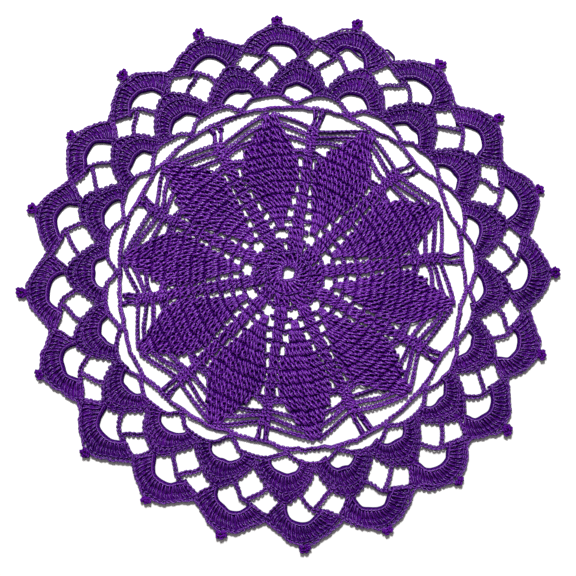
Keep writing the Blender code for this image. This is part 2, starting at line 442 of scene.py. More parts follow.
# What a plain sheet gives the finish: the crest of a ply all over, and the deepest tint,
# which paints the buried sheet dark as shade.
SMOOTH_MAP = (0.5, 0.0)
SHEET_SHADE_TINT = -1.0


class Ends(Enum):
    """Whether a thread's path stops at both ends or runs back into its start."""

    OPEN = "open"
    JOINED = "joined"


@dataclass
class Shell:
    """Loose surface: corners, four-sided faces, end caps and what the finish reads."""

    places: np.ndarray
    faces: np.ndarray
    face_maps: np.ndarray
    caps: np.ndarray
    tints: np.ndarray

    @staticmethod
    def together(shells: Sequence["Shell"]) -> "Shell":
        """Puts shells into one, with the corner numbers of each moved on.

        Args:
            shells: Shells whose caps have as many sides as each other's.

        Returns:
            One shell.
        """
        counts = [len(shell.places) for shell in shells]
        starts = np.concatenate([[0], np.cumsum(counts)[:-1]]).astype(int)
        return Shell(
            places=np.concatenate([shell.places for shell in shells]),
            faces=np.concatenate([s.faces + start for s, start in zip(shells, starts)]),
            face_maps=np.concatenate([shell.face_maps for shell in shells]),
            caps=np.concatenate([s.caps + start for s, start in zip(shells, starts)]),
            tints=np.concatenate([shell.tints for shell in shells]),
        )

    def piece(self, name: str, material: Material) -> Object:
        """Makes the shell an object that rides on the body and stands for the solid.

        Args:
            name: Name of the piece.
            material: Its finish.

        Returns:
            The object, at the origin.
        """
        mesh = bpy.data.meshes.new(name)
        sides = self.caps.shape[1]
        corners = np.concatenate([self.faces.ravel(), self.caps.ravel()])
        totals = np.repeat([4, sides], [len(self.faces), len(self.caps)])
        starts = np.concatenate([[0], np.cumsum(totals)[:-1]])
        mesh.vertices.add(len(self.places))
        mesh.vertices.foreach_set("co", self.places.astype(np.float32).ravel())
        mesh.loops.add(len(corners))
        mesh.loops.foreach_set("vertex_index", corners.astype(np.int32))
        mesh.polygons.add(len(totals))
        mesh.polygons.foreach_set("loop_start", starts.astype(np.int32))
        mesh.polygons.foreach_set("use_smooth", np.ones(len(totals), dtype=bool))
        cap_maps = np.zeros((self.caps.size, 2))
        maps = np.concatenate([self.face_maps.reshape(-1, 2), cap_maps])
        layer = mesh.uv_layers.new(name="thread")
        layer.data.foreach_set("uv", maps.astype(np.float32).ravel())
        tint = mesh.attributes.new("tint", "FLOAT", "POINT")
        tint.data.foreach_set("value", self.tints.astype(np.float32))
        mesh.update(calc_edges=True)
        mesh.validate()
        mesh.materials.append(material)
        piece = bpy.data.objects.new(name, mesh)
        bpy.context.scene.collection.objects.link(piece)
        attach(piece, BODY)
        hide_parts(CAD_NODE)
        LOG.info("%s: %d faces", name, len(totals))
        return piece


@dataclass(frozen=True)
class Thread:
    """Round thread, carried along paths as a tube of a few sides.

    A path's tint, dull at 0 and lively at 1, is drawn between its two shades.
    """

    radius: float = 0.00040
    sides: int = 4
    ply_turns: float = 620.0
    shades: tuple[float, float] = (0.0, 1.0)

    def carry(self, paths: np.ndarray, across: np.ndarray, ends: Ends, rng: Generator) -> Shell:
        """Carries a ring of sides along every path.

        With t the run of the path, s = t x across made one long and n = s x t, the ring at a
        point of the path is point + radius (n cos a + s sin a), for a from 0 to a full turn.
        No path comes closer to the floor than the thread's radius. The map's first number
        counts the turns of the thread's plies along the path, and its second goes from 0 to 1
        around the ring.

        Args:
            paths: Points of every path, as (path, point, xyz).
            across: A direction that no path runs along, broadcast to paths.
            ends: Whether the paths are open or joined.
            rng: Source of the paths' tints.

        Returns:
            The tubes as one shell.
        """
        count, points = paths.shape[:2]
        level = np.maximum(paths[..., 2:], self.radius)
        paths = np.concatenate([paths[..., :2], level], axis=-1)
        if ends is Ends.JOINED:
            run = np.roll(paths, -1, axis=1) - np.roll(paths, 1, axis=1)
        else:
            run = np.gradient(paths, axis=1)
        run = unit(run)
        side = unit(np.cross(run, np.broadcast_to(across, paths.shape)))
        out = np.cross(side, run)
        around = np.arange(self.sides) * (2.0 * math.pi / self.sides)
        ring = out[:, :, None, :] * np.cos(around)[:, None]
        ring = ring + side[:, :, None, :] * np.sin(around)[:, None]
        places = paths[:, :, None, :] + ring * self.radius

        steps = np.linalg.norm(np.roll(paths, -1, axis=1) - paths, axis=2)
        plies = np.concatenate([np.zeros((count, 1)), np.cumsum(steps, axis=1)], axis=1)
        plies *= self.ply_turns
        spans = points if ends is Ends.JOINED else points - 1
        here = np.arange(spans)
        there = (here + 1) % points
        edge = np.arange(self.sides)
        next_edge = (edge + 1) % self.sides
        first = (np.arange(count) * points * self.sides)[:, None, None]
        low = first + (here * self.sides)[None, :, None]
        high = first + (there * self.sides)[None, :, None]
        faces = np.stack([low + edge, low + next_edge, high + next_edge, high + edge], -1)
        u_low = np.broadcast_to(plies[:, :spans, None], faces.shape[:3])
        u_high = np.broadcast_to(plies[:, 1 : spans + 1, None], faces.shape[:3])
        v_low = np.broadcast_to(edge / self.sides, faces.shape[:3])
        v_high = v_low + 1.0 / self.sides
        u = np.stack([u_low, u_low, u_high, u_high], -1)
        v = np.stack([v_low, v_high, v_high, v_low], -1)
        maps = np.stack([u, v], -1)
        caps = np.zeros((0, self.sides), dtype=int)
        if ends is Ends.OPEN:
            start = first[:, 0] + edge[::-1]
            stop = first[:, 0] + (points - 1) * self.sides + edge
            caps = np.concatenate([start, stop])
        return Shell(
            places=places.reshape(-1, 3),
            faces=faces.reshape(-1, 4),
            face_maps=maps.reshape(-1, 4, 2),
            caps=caps,
            tints=np.repeat(rng.uniform(*self.shades, count), points * self.sides),
        )


class Bend(NamedTuple):
    """One bend of a stitch: along its width, up its row, and out of its plane."""

    along: float
    up: float
    proud: float


class Turn(NamedTuple):
    """One turn of thread round a stitch: how far up, its slope, half width and height."""

    up: float
    slope: float
    wide: float
    proud: float


class Strands(NamedTuple):
    """One kind of stitch: the bends, shades and thickness of its two legs, and its turns.
    The second leg's shades are lower than the first's: painted shade on the leg that lies lower.

    Its buried thread leans by lean stitches over the row's height, and mirrored is the share
    of the stitches that is turned left to right.
    """

    first: tuple[Bend, ...]
    second: tuple[Bend, ...]
    raised_leg_tints: tuple[float, float]
    shaded_leg_tints: tuple[float, float]
    thick: tuple[float, float]
    turns: tuple[Turn, ...]
    lean: float
    mirrored: float


# Tall stitch of the ring, the petals and the columns, with two wraps.
TALL = Strands(
    first=(
        Bend(0.04, 0.04, -1.30), Bend(0.02, 0.09, 0.60), Bend(0.08, 0.15, 1.60),
        Bend(0.26, 0.24, 1.60), Bend(0.44, 0.33, 1.20), Bend(0.50, 0.39, -0.30),
        Bend(0.14, 0.42, -0.60), Bend(0.08, 0.48, 0.90), Bend(0.18, 0.60, 1.70),
        Bend(0.42, 0.76, 1.80), Bend(0.64, 0.89, 1.20), Bend(0.68, 0.96, -1.30),
    ),
    second=(
        Bend(0.50, 0.05, -1.40), Bend(0.48, 0.10, 0.60), Bend(0.54, 0.18, 1.40),
        Bend(0.76, 0.36, 1.40), Bend(1.00, 0.54, 1.00), Bend(1.06, 0.62, -0.60),
        Bend(0.72, 0.66, -0.80), Bend(0.64, 0.71, 0.70), Bend(0.70, 0.77, 1.30),
        Bend(0.86, 0.84, 1.10), Bend(1.02, 0.92, 0.40), Bend(1.06, 0.97, -1.40),
    ),
    raised_leg_tints=(0.80, 1.60),
    shaded_leg_tints=(0.30, 1.30),
    thick=(1.10, 0.98),
    turns=(Turn(0.28, -0.09, 0.32, 2.00), Turn(0.75, -0.09, 0.32, 2.10)),
    lean=0.0,
    mirrored=0.0,
)

# Long stitch of the posts.
PLAIN = Strands(
    first=(
        Bend(0.20, 0.00, -0.60), Bend(0.30, 0.18, 0.60), Bend(0.42, 0.40, 1.00),
        Bend(0.26, 0.60, 0.80), Bend(0.36, 0.82, 0.60), Bend(0.46, 1.00, -0.60),
    ),
    second=(
        Bend(0.80, 0.02, -0.80), Bend(0.70, 0.20, 0.20), Bend(0.80, 0.42, 0.30),
        Bend(0.66, 0.62, 0.40), Bend(0.76, 0.80, 0.10), Bend(0.70, 0.98, -0.80),
    ),
    raised_leg_tints=(0.30, 0.90),
    shaded_leg_tints=(0.00, 0.60),
    thick=(1.0, 0.90),
    turns=(Turn(0.50, 0.10, 0.24, 1.10),),
    lean=0.0,
    mirrored=0.3,
)

# Stitch of the fans: a thick bright leg beside a thin one, bent in at half height; the thin
# leg lies lower, and its dark tint is painted shade.
BARRED = Strands(
    first=(
        Bend(0.30, 0.03, 0.20), Bend(0.31, 0.10, 1.70), Bend(0.34, 0.25, 2.00),
        Bend(0.42, 0.43, 1.10), Bend(0.50, 0.51, -0.80), Bend(0.30, 0.57, 0.00),
        Bend(0.42, 0.68, 1.20), Bend(0.62, 0.82, 0.90), Bend(0.78, 0.94, -0.20),
        Bend(0.80, 1.02, -1.00),
    ),
    second=(
        Bend(0.80, 0.04, -0.20), Bend(0.80, 0.14, 0.60), Bend(0.84, 0.32, 0.50),
        Bend(0.92, 0.44, -0.20), Bend(0.96, 0.51, -1.30), Bend(0.80, 0.60, -0.80),
        Bend(0.92, 0.70, 0.20), Bend(1.10, 0.82, 0.10), Bend(1.22, 0.93, -0.90),
        Bend(1.24, 1.00, -1.30),
    ),
    raised_leg_tints=(-0.15, 0.72),
    shaded_leg_tints=(-0.65, 0.00),
    thick=(1.28, 0.80),
    turns=(),
    lean=0.30,
    mirrored=0.0,
)

# Low stitch of the crowns and the ties.
SHORT = Strands(
    first=(
        Bend(0.10, -0.02, -1.00), Bend(0.14, 0.12, 0.60), Bend(0.34, 0.36, 1.30),
        Bend(0.60, 0.62, 1.00), Bend(0.78, 0.92, -0.60),
    ),
    second=(
        Bend(0.92, 0.00, -0.80), Bend(0.84, 0.14, 0.50), Bend(0.66, 0.34, 0.20),
        Bend(0.40, 0.58, 0.60), Bend(0.20, 0.92, -0.40),
    ),
    raised_leg_tints=(-0.40, 0.35),
    shaded_leg_tints=(-0.60, 0.10),
    thick=(1.0, 0.9),
    turns=(),
    lean=0.0,
    mirrored=0.15,
)

# One stitch of a chain: out on one side, round inside the next stitch and back on the other.
CHAIN_BENDS = (
    Bend(0.06, 0.12, -1.20), Bend(0.30, 0.45, -0.10), Bend(0.58, 0.90, 1.20),
    Bend(0.86, 1.00, 0.90), Bend(1.12, 0.60, -0.60), Bend(1.26, 0.00, -1.30),
    Bend(1.12, -0.60, -0.60), Bend(0.86, -1.00, 0.90), Bend(0.58, -0.90, 1.20),
    Bend(0.30, -0.45, -0.10), Bend(0.18, -0.10, -1.20),
)


@dataclass(frozen=True)
class Gauge:
    """How a chain is worked: a stitch's length, half its width and its height on the floor.

    It is turned about its line by roll, in radians, and by twist, in radians for each metre.
    """

    pitch: float = 0.00190
    half_width: float = 0.00076
    height: float = 0.00100
    roll: float = 0.0
    twist: float = 0.0


@dataclass(frozen=True)
class Chain:
    """Crochet chain: one thread that loops through itself along a line.

    The thread of stitch i is at line(i + along), moved sideways by up times half the chain's
    width and raised by proud thread radii, for each of CHAIN_BENDS in turn, all by chance a
    little more or less. A core runs straight through the loops: the bumps of a real chain's
    back, tinted darker as painted shade between the loops. An open chain stops at the share
    last of its line.
    """

    line: np.ndarray
    gauge: Gauge = Gauge()
    ends: Ends = Ends.OPEN
    uneven: float = 0.08
    last: float = 1.02
    core: float = 0.90
    core_drop: float = 0.30
    core_shade_tints: tuple[float, float] = (0.0, 0.1)
    core_steps: int = 2
    rope_steps: int = 8

    def count(self) -> int:
        """Stitches or turns on the line, two at least."""
        return max(2, round(length_of(self.line) / self.gauge.pitch))

    def thread(self, thread: Thread, rng: Generator) -> Shell:
        """The looping thread.

        Args:
            thread: What it is made of.
            rng: Source of its unevenness.

        Returns:
            The looping tube and the straight one.
        """
        count = self.count()
        bends = np.array(CHAIN_BENDS)
        number = np.arange(count)[:, None]
        uneven = rng.normal(0.0, self.uneven, (count, len(bends), 3))
        along = ((number + bends[:, 0] + uneven[..., 0]) / count).ravel()
        sideways = (bends[:, 1] * (1.0 + uneven[..., 1])).ravel() * self.gauge.half_width
        proud = (bends[:, 2] + uneven[..., 2]).ravel() * thread.radius
        if self.ends is Ends.OPEN:
            keep = along <= self.last
            along, sideways, proud = along[keep], sideways[keep], proud[keep]
        else:
            along = along % 1.0
        loops = self.bent(along, sideways, proud)
        points = self.core_steps * count
        steps = np.arange(points) / (points if self.ends is Ends.JOINED else points - 1)
        level = np.zeros(points)
        core = self.bent(steps, level, level - self.core_drop * thread.radius)
        # the core's low tints are painted shade between the loops
        buried = replace(thread, radius=thread.radius * self.core, shades=self.core_shade_tints)
        return Shell.together([
            thread.carry(loops, UPWARDS, self.ends, rng),
            buried.carry(core, UPWARDS, self.ends, rng),
        ])

    def rope(self, thread: Thread, rng: Generator) -> Shell:
        """Two strands twisted round the line, one turn for each pitch.

        At a share s of the line, with n turns on it, a strand lies at the angle 2 pi n s plus
        its start, at half the width times the angle's cosine aside and sine above.

        Args:
            thread: What it is made of.
            rng: Source of the strands' tints.

        Returns:
            Two tubes.
        """
        count = self.count()
        along = np.linspace(0.0, 1.0, self.rope_steps * count + 1)
        paths = []
        for start in (0.0, math.pi):
            angle = 2.0 * math.pi * count * along + start
            aside, above = np.cos(angle), np.sin(angle)
            wide = self.gauge.half_width
            paths.append(self.bent(along, wide * aside, wide * above))
        return thread.carry(np.concatenate(paths), UPWARDS, Ends.OPEN, rng)

    def bent(self, along: np.ndarray, sideways: np.ndarray, proud: np.ndarray) -> np.ndarray:
        """Path beside the chain's line, rolled and twisted with it.

        With t the turn about the line, a point lies sideways cos t - proud sin t to the left
        and sideways sin t + proud cos t above.

        Args:
            along: Shares of the line's length.
            sideways: Distances to the left of the line.
            proud: Heights over it.

        Returns:
            One path, as (1, point, xyz).
        """
        half_stitch = 0.5 / self.count()
        middle = read_line(self.line, along)
        ahead = read_line(self.line, along + half_stitch)
        behind = read_line(self.line, along - half_stitch)
        run = unit(ahead - behind)
        left = np.stack([-run[:, 1], run[:, 0]], axis=-1)
        turn = self.gauge.roll + self.gauge.twist * length_of(self.line) * along
        aside = sideways * np.cos(turn) - proud * np.sin(turn)
        above = sideways * np.sin(turn) + proud * np.cos(turn)
        flat = middle + left * aside[:, None]
        return np.concatenate([flat, (self.gauge.height + above)[:, None]], axis=1)[None]


@dataclass(frozen=True)
class Strip:
    """Band between a lower and an upper line, where one row of stitches lies.

    A slip is the usual error of the hand: that of legs and bends along, up and out of the row,
    and that of wraps in their middle, slope, place up the row and height out of it. The buried
    sheet, dark as painted shade between the strands, reaches sheet_half each way from its
    middle, which is sheet_drop under the strip's. It stops short of the strip's ends by inset
    stitches, but by most_inset of the length at most.
    """

    base: np.ndarray
    top: np.ndarray
    count: int
    height: float = 0.00092
    leg_slip: tuple[float, float, float] = (0.090, 0.036, 0.24)
    bend_slip: tuple[float, float, float] = (0.050, 0.014, 0.24)
    wrap_slip: tuple[float, float, float, float] = (0.07, 0.03, 0.025, 0.15)
    wrap_radius: float = 0.80
    wrap_points: int = 6
    head_gauge: Gauge = Gauge(half_width=0.00060, roll=0.50)
    head_lift: float = 0.30
    sheet_half: float = 0.00022
    sheet_drop: float = 0.00042
    sheet_lip: float = 0.12
    inset: float = 0.12
    most_inset: float = 0.10

    def place(self, along: np.ndarray, up: np.ndarray, proud: np.ndarray) -> np.ndarray:
        """Place in the strip: straight from the lower line to the upper at one share.

        Args:
            along: Share of both lines' lengths.
            up: 0 on the lower line and 1 on the upper.
            proud: Height over the strip's middle plane, in metres.

        Returns:
            Array with x, y and z on its last axis.
        """
        low = read_line(self.base, along)
        high = read_line(self.top, along)
        flat = low + (high - low) * np.asarray(up)[..., None]
        return np.concatenate([flat, (self.height + proud)[..., None]], axis=-1)

    def legs(self, kind: Strands, thread: Thread, rng: Generator) -> Shell:
        """Two legs for each stitch of the row.

        A bend of stitch i lies at (i + along) / count and up, and proud radii high. A mirrored
        stitch has 1 - along instead of along.

        Args:
            kind: Bends of the stitch.
            thread: What it is made of.
            rng: Source of the hand's unevenness.

        Returns:
            The legs as one shell.
        """
        bends = np.stack([np.array(kind.first), np.array(kind.second)])
        legs, points = bends.shape[:2]
        number = np.arange(self.count)[:, None, None]
        moved = rng.normal(0.0, self.leg_slip, (self.count, legs, 1, 3))
        shaken = rng.normal(0.0, self.bend_slip, (self.count, legs, points, 3))
        bent = bends + moved + shaken
        turned = rng.random((self.count, 1, 1)) < kind.mirrored
        across_stitch = np.where(turned, 1.0 - bent[..., 0], bent[..., 0])
        along = (number + across_stitch) / self.count
        paths = self.place(along, bent[..., 1], bent[..., 2] * thread.radius)
        middle = (np.arange(self.count) + 0.5) / self.count
        ahead = read_line(self.base, middle + 0.5 / self.count)
        behind = read_line(self.base, middle - 0.5 / self.count)
        row_run = unit(np.concatenate([ahead - behind, np.zeros((self.count, 1))], axis=1))
        across = row_run[:, None, :]
        shells = []
        # the second leg's lower tints are painted shade on the leg that lies lower
        for leg, shades in enumerate((kind.raised_leg_tints, kind.shaded_leg_tints)):
            strand = replace(thread, radius=thread.radius * kind.thick[leg], shades=shades)
            shells.append(strand.carry(paths[:, leg], across, Ends.OPEN, rng))
        return Shell.together(shells)

    def wraps(self, kind: Strands, thread: Thread, rng: Generator) -> Shell:
        """The slanting turns of thread round each stitch.

        Each is a tilted ring: along is the stitch's middle plus wide cos a, up is the turn's
        own plus slope cos a, and the height is proud sin a thread radii.

        Args:
            kind: Bends of the stitch.
            thread: What it is made of.
            rng: Source of the hand's unevenness.

        Returns:
            The wraps as one shell.
        """
        around = np.arange(self.wrap_points) * (2.0 * math.pi / self.wrap_points)
        turns = np.array(kind.turns)[None, :, :, None]
        number = np.arange(self.count)[:, None, None]
        off = rng.normal(0.0, 1.0, (self.count, len(kind.turns), 4, 1))
        off = off * np.array(self.wrap_slip)[:, None]
        sign = np.where(rng.random((self.count, len(kind.turns), 1)) < kind.mirrored, -1.0, 1.0)
        along = number + 0.5 + off[:, :, 0] + turns[:, :, 2] * np.cos(around)
        slope = sign * (turns[:, :, 1] + off[:, :, 1])
        up = turns[:, :, 0] + off[:, :, 2] + slope * np.cos(around)
        proud = (turns[:, :, 3] + off[:, :, 3]) * np.sin(around) * thread.radius
        paths = self.place(along / self.count, up, proud).reshape(-1, self.wrap_points, 3)
        middle = (np.arange(self.count) + 0.5) / self.count
        rise = read_line(self.top, middle) - read_line(self.base, middle)
        across = unit(np.concatenate([rise, np.zeros((self.count, 1))], axis=1))
        across = np.repeat(across, len(kind.turns), axis=0)[:, None, :]
        radius = self.wrap_radius * thread.radius
        strand = replace(thread, radius=radius, shades=kind.raised_leg_tints)
        return strand.carry(paths, across, Ends.JOINED, rng)

    def stitches(self, kind: Strands, thread: Thread, rng: Generator) -> Shell:
        """Legs and wraps of the whole row.

        Args:
            kind: Bends of the stitch.
            thread: What it is made of.
            rng: Source of the hand's unevenness.

        Returns:
            One shell.
        """
        shells = [self.legs(kind, thread, rng)]
        if kind.turns:
            shells.append(self.wraps(kind, thread, rng))
        return Shell.together(shells)

    def cord(self, up: float, proud: float, thread: Thread, rng: Generator) -> Shell:
        """One thread that runs along the whole strip.

        Args:
            up: How far up the strip it lies.
            proud: Height over the strip's middle plane.
            thread: What it is made of.
            rng: Source of its tint.

        Returns:
            One tube.
        """
        along = np.linspace(0.0, 1.0, len(self.base))
        level = np.zeros(len(along))
        path = self.place(along, level + up, level + proud)[None]
        return thread.carry(path, UPWARDS, Ends.OPEN, rng)

    def head(self, thread: Thread, rng: Generator) -> Shell:
        """The chain of loops along the upper line, rolled over towards the row's face.

        Args:
            thread: What it is made of.
            rng: Source of the hand's unevenness.

        Returns:
            The chain.
        """
        pitch = length_of(self.top) / self.count
        height = self.height + self.head_lift * thread.radius
        gauge = replace(self.head_gauge, pitch=pitch, height=height)
        return Chain(self.top, gauge).thread(thread, rng)

    def ground(self, kind: Strands) -> Shell:
        """Thin sheet inside the row, which stands for the thread that is buried in it; its dark
        colour is painted shade in the gaps between the strands.

        Its section has six corners: one on each edge, and two on each face at sheet_lip from
        the edges. It is carried along the strip from one end to the other, leaning as the
        stitches do.

        Args:
            kind: Stitch that it lies under.

        Returns:
            A closed shell.
        """
        lip = self.sheet_lip
        up = np.array([0.0, lip, 1.0 - lip, 1.0, 1.0 - lip, lip])
        proud = np.array([0.0, -1.0, -1.0, 0.0, 1.0, 1.0]) * self.sheet_half
        sides = len(up)
        spans = max(4, self.count) + 1
        inset = min(self.most_inset, self.inset / self.count)
        along = np.linspace(inset, 1.0 - inset, spans)[:, None]
        along = along + kind.lean * (up - 0.5)[None, :] / self.count
        along, up, proud = np.broadcast_arrays(along, up[None, :], proud[None, :])
        places = self.place(along, up, proud - self.sheet_drop)
        here = np.arange(spans - 1)[:, None] * sides
        edge = np.arange(sides)[None, :]
        after = (edge + 1) % sides
        there = here + sides
        faces = np.stack([here + edge, here + after, there + after, there + edge], -1)
        maps = np.full((faces.size // 4, 4, 2), SMOOTH_MAP)
        start = edge[:, ::-1]
        stop = (spans - 1) * sides + edge
        return Shell(
            places=places.reshape(-1, 3),
            faces=faces.reshape(-1, 4),
            face_maps=maps,
            caps=np.concatenate([start, stop]),
            # the lowest tint: painted shade between the strands
            tints=np.full(spans * sides, SHEET_SHADE_TINT),
        )


class Row(NamedTuple):
    """One row of a petal or column: shares, turns of its lower and upper ends, stitches."""

    inner: float
    outer: float
    inner_from: float
    inner_to: float
    outer_from: float
    outer_to: float
    count: int


# Rows of a petal, from its root to its tip.
PETAL_ROWS = (
    Row(0.172, 0.210, 14.8, 21.2, 13.4, 22.6, 4),
    Row(0.210, 0.254, 11.8, 24.2, 10.5, 25.5, 5),
    Row(0.254, 0.304, 8.3, 27.7, 7.0, 29.0, 7),
    Row(0.304, 0.354, 5.6, 30.4, 4.5, 31.5, 8),
    Row(0.354, 0.404, 4.1, 31.9, 3.6, 32.4, 10),
    Row(0.404, 0.454, 3.6, 32.4, 4.8, 31.2, 11),
    Row(0.454, 0.506, 6.0, 29.8, 8.2, 27.6, 9),
    Row(0.506, 0.557, 9.6, 25.5, 11.8, 22.8, 6),
    Row(0.557, 0.611, 13.4, 21.3, 15.2, 19.6, 4),
)

# Rows of a column, from the second round to its post.
COLUMN_ROWS = (
    Row(0.124, 0.172, -8.8, 8.8, -9.0, 9.0, 4),
    Row(0.172, 0.210, -6.0, 6.0, -5.4, 5.4, 3),
    Row(0.210, 0.254, -5.0, 5.0, -4.6, 4.6, 3),
    Row(0.254, 0.304, -4.3, 4.3, -3.8, 3.8, 3),
    Row(0.304, 0.354, -3.4, 3.4, -3.0, 3.0, 2),
    Row(0.354, 0.404, -3.0, 3.0, -2.8, 2.8, 2),
    Row(0.404, 0.454, -2.7, 2.7, -2.3, 2.3, 2),
    Row(0.454, 0.480, -2.2, 2.2, -2.1, 2.1, 2),
    Row(0.480, 0.506, -2.1, 2.1, -2.0, 2.0, 2),
    Row(0.506, 0.533, -2.1, 2.1, -2.0, 2.0, 2),
    Row(0.533, 0.562, -2.3, 2.0, -2.6, 1.6, 2),
)

# Chains across a column, between two rows: half their width as a turn, and their share.
CROSSINGS = (
    Along(17.9, 0.127), Along(14.4, 0.170), Along(12.4, 0.210), Along(9.2, 0.254),
    Along(7.2, 0.304), Along(5.6, 0.354), Along(5.4, 0.404), Along(7.4, 0.454),
)

# Shares of a post's foot and waist, and half its width in degrees there and at its end.
POST_SHARES = (0.560, 0.598)
POST_WIDTHS = (2.0, 2.3, 2.7)


def row_strip(place: Placing, row: Row, points: int = ROW_POINTS) -> Strip:
    """Strip of one row of stitches.

    Args:
        place: What puts turns and shares in their places.
        row: Its shares, turns and stitches.
        points: Points on each of its two lines.

    Returns:
        The strip.
    """
    low = np.linspace(row.inner_from, row.inner_to, points)
    high = np.linspace(row.outer_from, row.outer_to, points)
    return Strip(place(low, row.inner), place(high, row.outer), row.count)


@dataclass(frozen=True)
class Flower:
    """Ring, petals and columns: the ten-petalled middle of the doily.

    The ring lies between two shares of the reach. A hoop, a closed chain on it, has a share
    and a gauge. A post starts post_foot degrees from its column, and is split by post_gap
    at both ends.
    """

    thread: Thread = Thread(radius=0.00047)
    hidden: Thread = Thread(radius=0.00046, shades=(0.2, 0.8))
    # cord along each petal row's foot, dark in the dark finish: painted shade on the row lines
    shaded_seam: Thread = Thread(radius=0.00044, sides=6, shades=(-1.0, -0.6))
    seam_drop: float = 0.00026
    ring: tuple[float, float] = (0.028, 0.082)
    ring_count: int = 21
    circle_points: int = 16
    second_round: Row = Row(0.084, 0.124, 15.4, 50.6, 17.6, 48.4, 3)
    crossing: Gauge = Gauge(half_width=0.00092, height=0.00062, roll=0.5)
    hoops: tuple[tuple[float, Gauge], ...] = (
        (0.080, Gauge(pitch=0.0025, half_width=0.00075, height=0.00125, roll=0.6)),
        (0.029, Gauge(pitch=0.0013, half_width=0.00075, height=0.00125, roll=1.35)),
    )
    post_foot: float = -0.4
    post_gap: float = 0.1
    seed: int = 11

    def circle(self, share: float) -> np.ndarray:
        """Closed line right round the flower.

        Args:
            share: Its share of the reach.

        Returns:
            The same number of points for each petal, and the first once more.
        """
        turns = np.linspace(0.0, PATTERN.even_petal, self.circle_points + 1)[:-1]
        parts = [PATTERN.flower(petal, turns, share) for petal in range(len(PETALS))]
        parts.append(PATTERN.flower(0, turns[:1], share))
        return np.concatenate(parts)

    def eye(self) -> list[Strip]:
        """Strips of the ring round the hole and of the round after it, in ten groups.

        Returns:
            The ring's strip and one for each petal.
        """
        inner, outer = self.ring
        strips = [Strip(self.circle(inner), self.circle(outer), self.ring_count)]
        for petal in range(len(PETALS)):
            strips.append(row_strip(partial(PATTERN.flower, petal), self.second_round))
        return strips

    def post(self, petal: int) -> list[Strip]:
        """Two stitches, each in two halves, from the end of a column to the plain round.

        On either side they reach from the gap to the width, counted from the middle.

        Args:
            petal: Row of PETALS.

        Returns:
            The strips.
        """
        row = PETALS[petal]
        plain = ChainRounds().plain_line()
        angles = np.degrees(np.arctan2(plain[:, 1], plain[:, 0]))
        reaches = np.linalg.norm(plain, axis=1) / PATTERN.reach
        end = float(np.interp(row.column + row.post, angles, reaches, period=FULL_TURN))
        shares = (*POST_SHARES, end)
        middles = np.array([self.post_foot, row.post, row.post])
        gaps = np.array([self.post_gap, row.split, self.post_gap])
        strips = []
        for side in (-1.0, 1.0):
            inner = middles + side * gaps
            outer = middles + side * np.array(POST_WIDTHS)
            low, high = np.minimum(inner, outer), np.maximum(inner, outer)
            lines = [
                PATTERN.flower(petal, np.linspace(start, stop, POST_POINTS), share)
                for start, stop, share in zip(low, high, shares)
            ]
            strips += [Strip(lines[0], lines[1], 1), Strip(lines[1], lines[2], 1)]
        return strips

    def centre(self, material: Material) -> tuple[Object, list[Shell]]:
        """Builds the ring, the second round, the columns, their posts and the chains on them.

        Args:
            material: Finish of the thread.

        Returns:
            The piece, and the ground under it.
        """
        rng = default_rng(self.seed)
        shells, grounds, columns, posts = [], [], [], []
        for petal in range(len(PETALS)):
            place = partial(PATTERN.flower, petal)
            columns += [row_strip(place, row) for row in COLUMN_ROWS]
            posts += self.post(petal)
        for kind, strips in ((TALL, self.eye() + columns), (PLAIN, posts)):
            for strip in strips:
                shells.append(strip.stitches(kind, self.thread, rng))
                grounds.append(strip.ground(kind))
        for petal in range(len(PETALS)):
            for half, share in CROSSINGS:
                turns = np.linspace(-half, half, ROW_POINTS)
                line = smooth_line(PATTERN.flower(petal, turns, share))
                shells.append(Chain(line, self.crossing).thread(self.hidden, rng))
        for share, gauge in self.hoops:
            chain = Chain(self.circle(share), gauge, Ends.JOINED)
            shells.append(chain.thread(self.thread, rng))
        return Shell.together(shells).piece("centre_stitches", material), grounds

    def petals(self, material: Material) -> tuple[Object, list[Shell]]:
        """Builds the ten petals.

        Args:
            material: Finish of the thread.

        Returns:
            The piece, and the ground under it.
        """
        rng = default_rng(self.seed + 1)
        shells, grounds = [], []
        for petal in range(len(PETALS)):
            for row in PETAL_ROWS:
                strip = row_strip(partial(PATTERN.flower, petal), row)
                shells.append(strip.stitches(TALL, self.thread, rng))
                grounds.append(strip.ground(TALL))
                # a dark cord at the row's foot: painted shade along the row line
                grounds.append(strip.cord(0.0, -self.seam_drop, self.shaded_seam, rng))
        return Shell.together(shells).piece("petal_stitches", material), grounds


@dataclass(frozen=True)
class FreeChain:
    """Chains that turn about their lines by chance, by most_roll and most_twist each way."""

    most_roll: float
    most_twist: float
    thread: Thread = Thread(radius=0.00045, sides=5, shades=(0.0, 0.8))

    def chain(self, line: np.ndarray, rng: Generator) -> Shell:
        """One chain along a line.

        Args:
            line: Evenly spaced points.
            rng: Source of its turn, its twist and its unevenness.

        Returns:
            The chain.
        """
        roll = rng.uniform(-self.most_roll, self.most_roll)
        twist = rng.uniform(-self.most_twist, self.most_twist)
        return Chain(line, Gauge(roll=roll, twist=twist)).thread(self.thread, rng)


@dataclass(frozen=True)
class ChainMesh:
    """Free chains along the same lines in every repeat of the flower or the outer rounds."""

    name: str
    place: Callable[..., np.ndarray]
    repeats: int
    lines: tuple[tuple[Along, ...], ...]
    free: FreeChain
    seed: int

    def build(self, material: Material) -> Object:
        """Builds the chains of all repeats.

        Args:
            material: Finish of the thread.

        Returns:
            The piece.
        """
        rng = default_rng(self.seed)
        shells = []
        for repeat in range(self.repeats):
            for points in self.lines:
                line = route(partial(self.place, repeat), points)
                shells.append(self.free.chain(line, rng))
        return Shell.together(shells).piece(self.name, material)


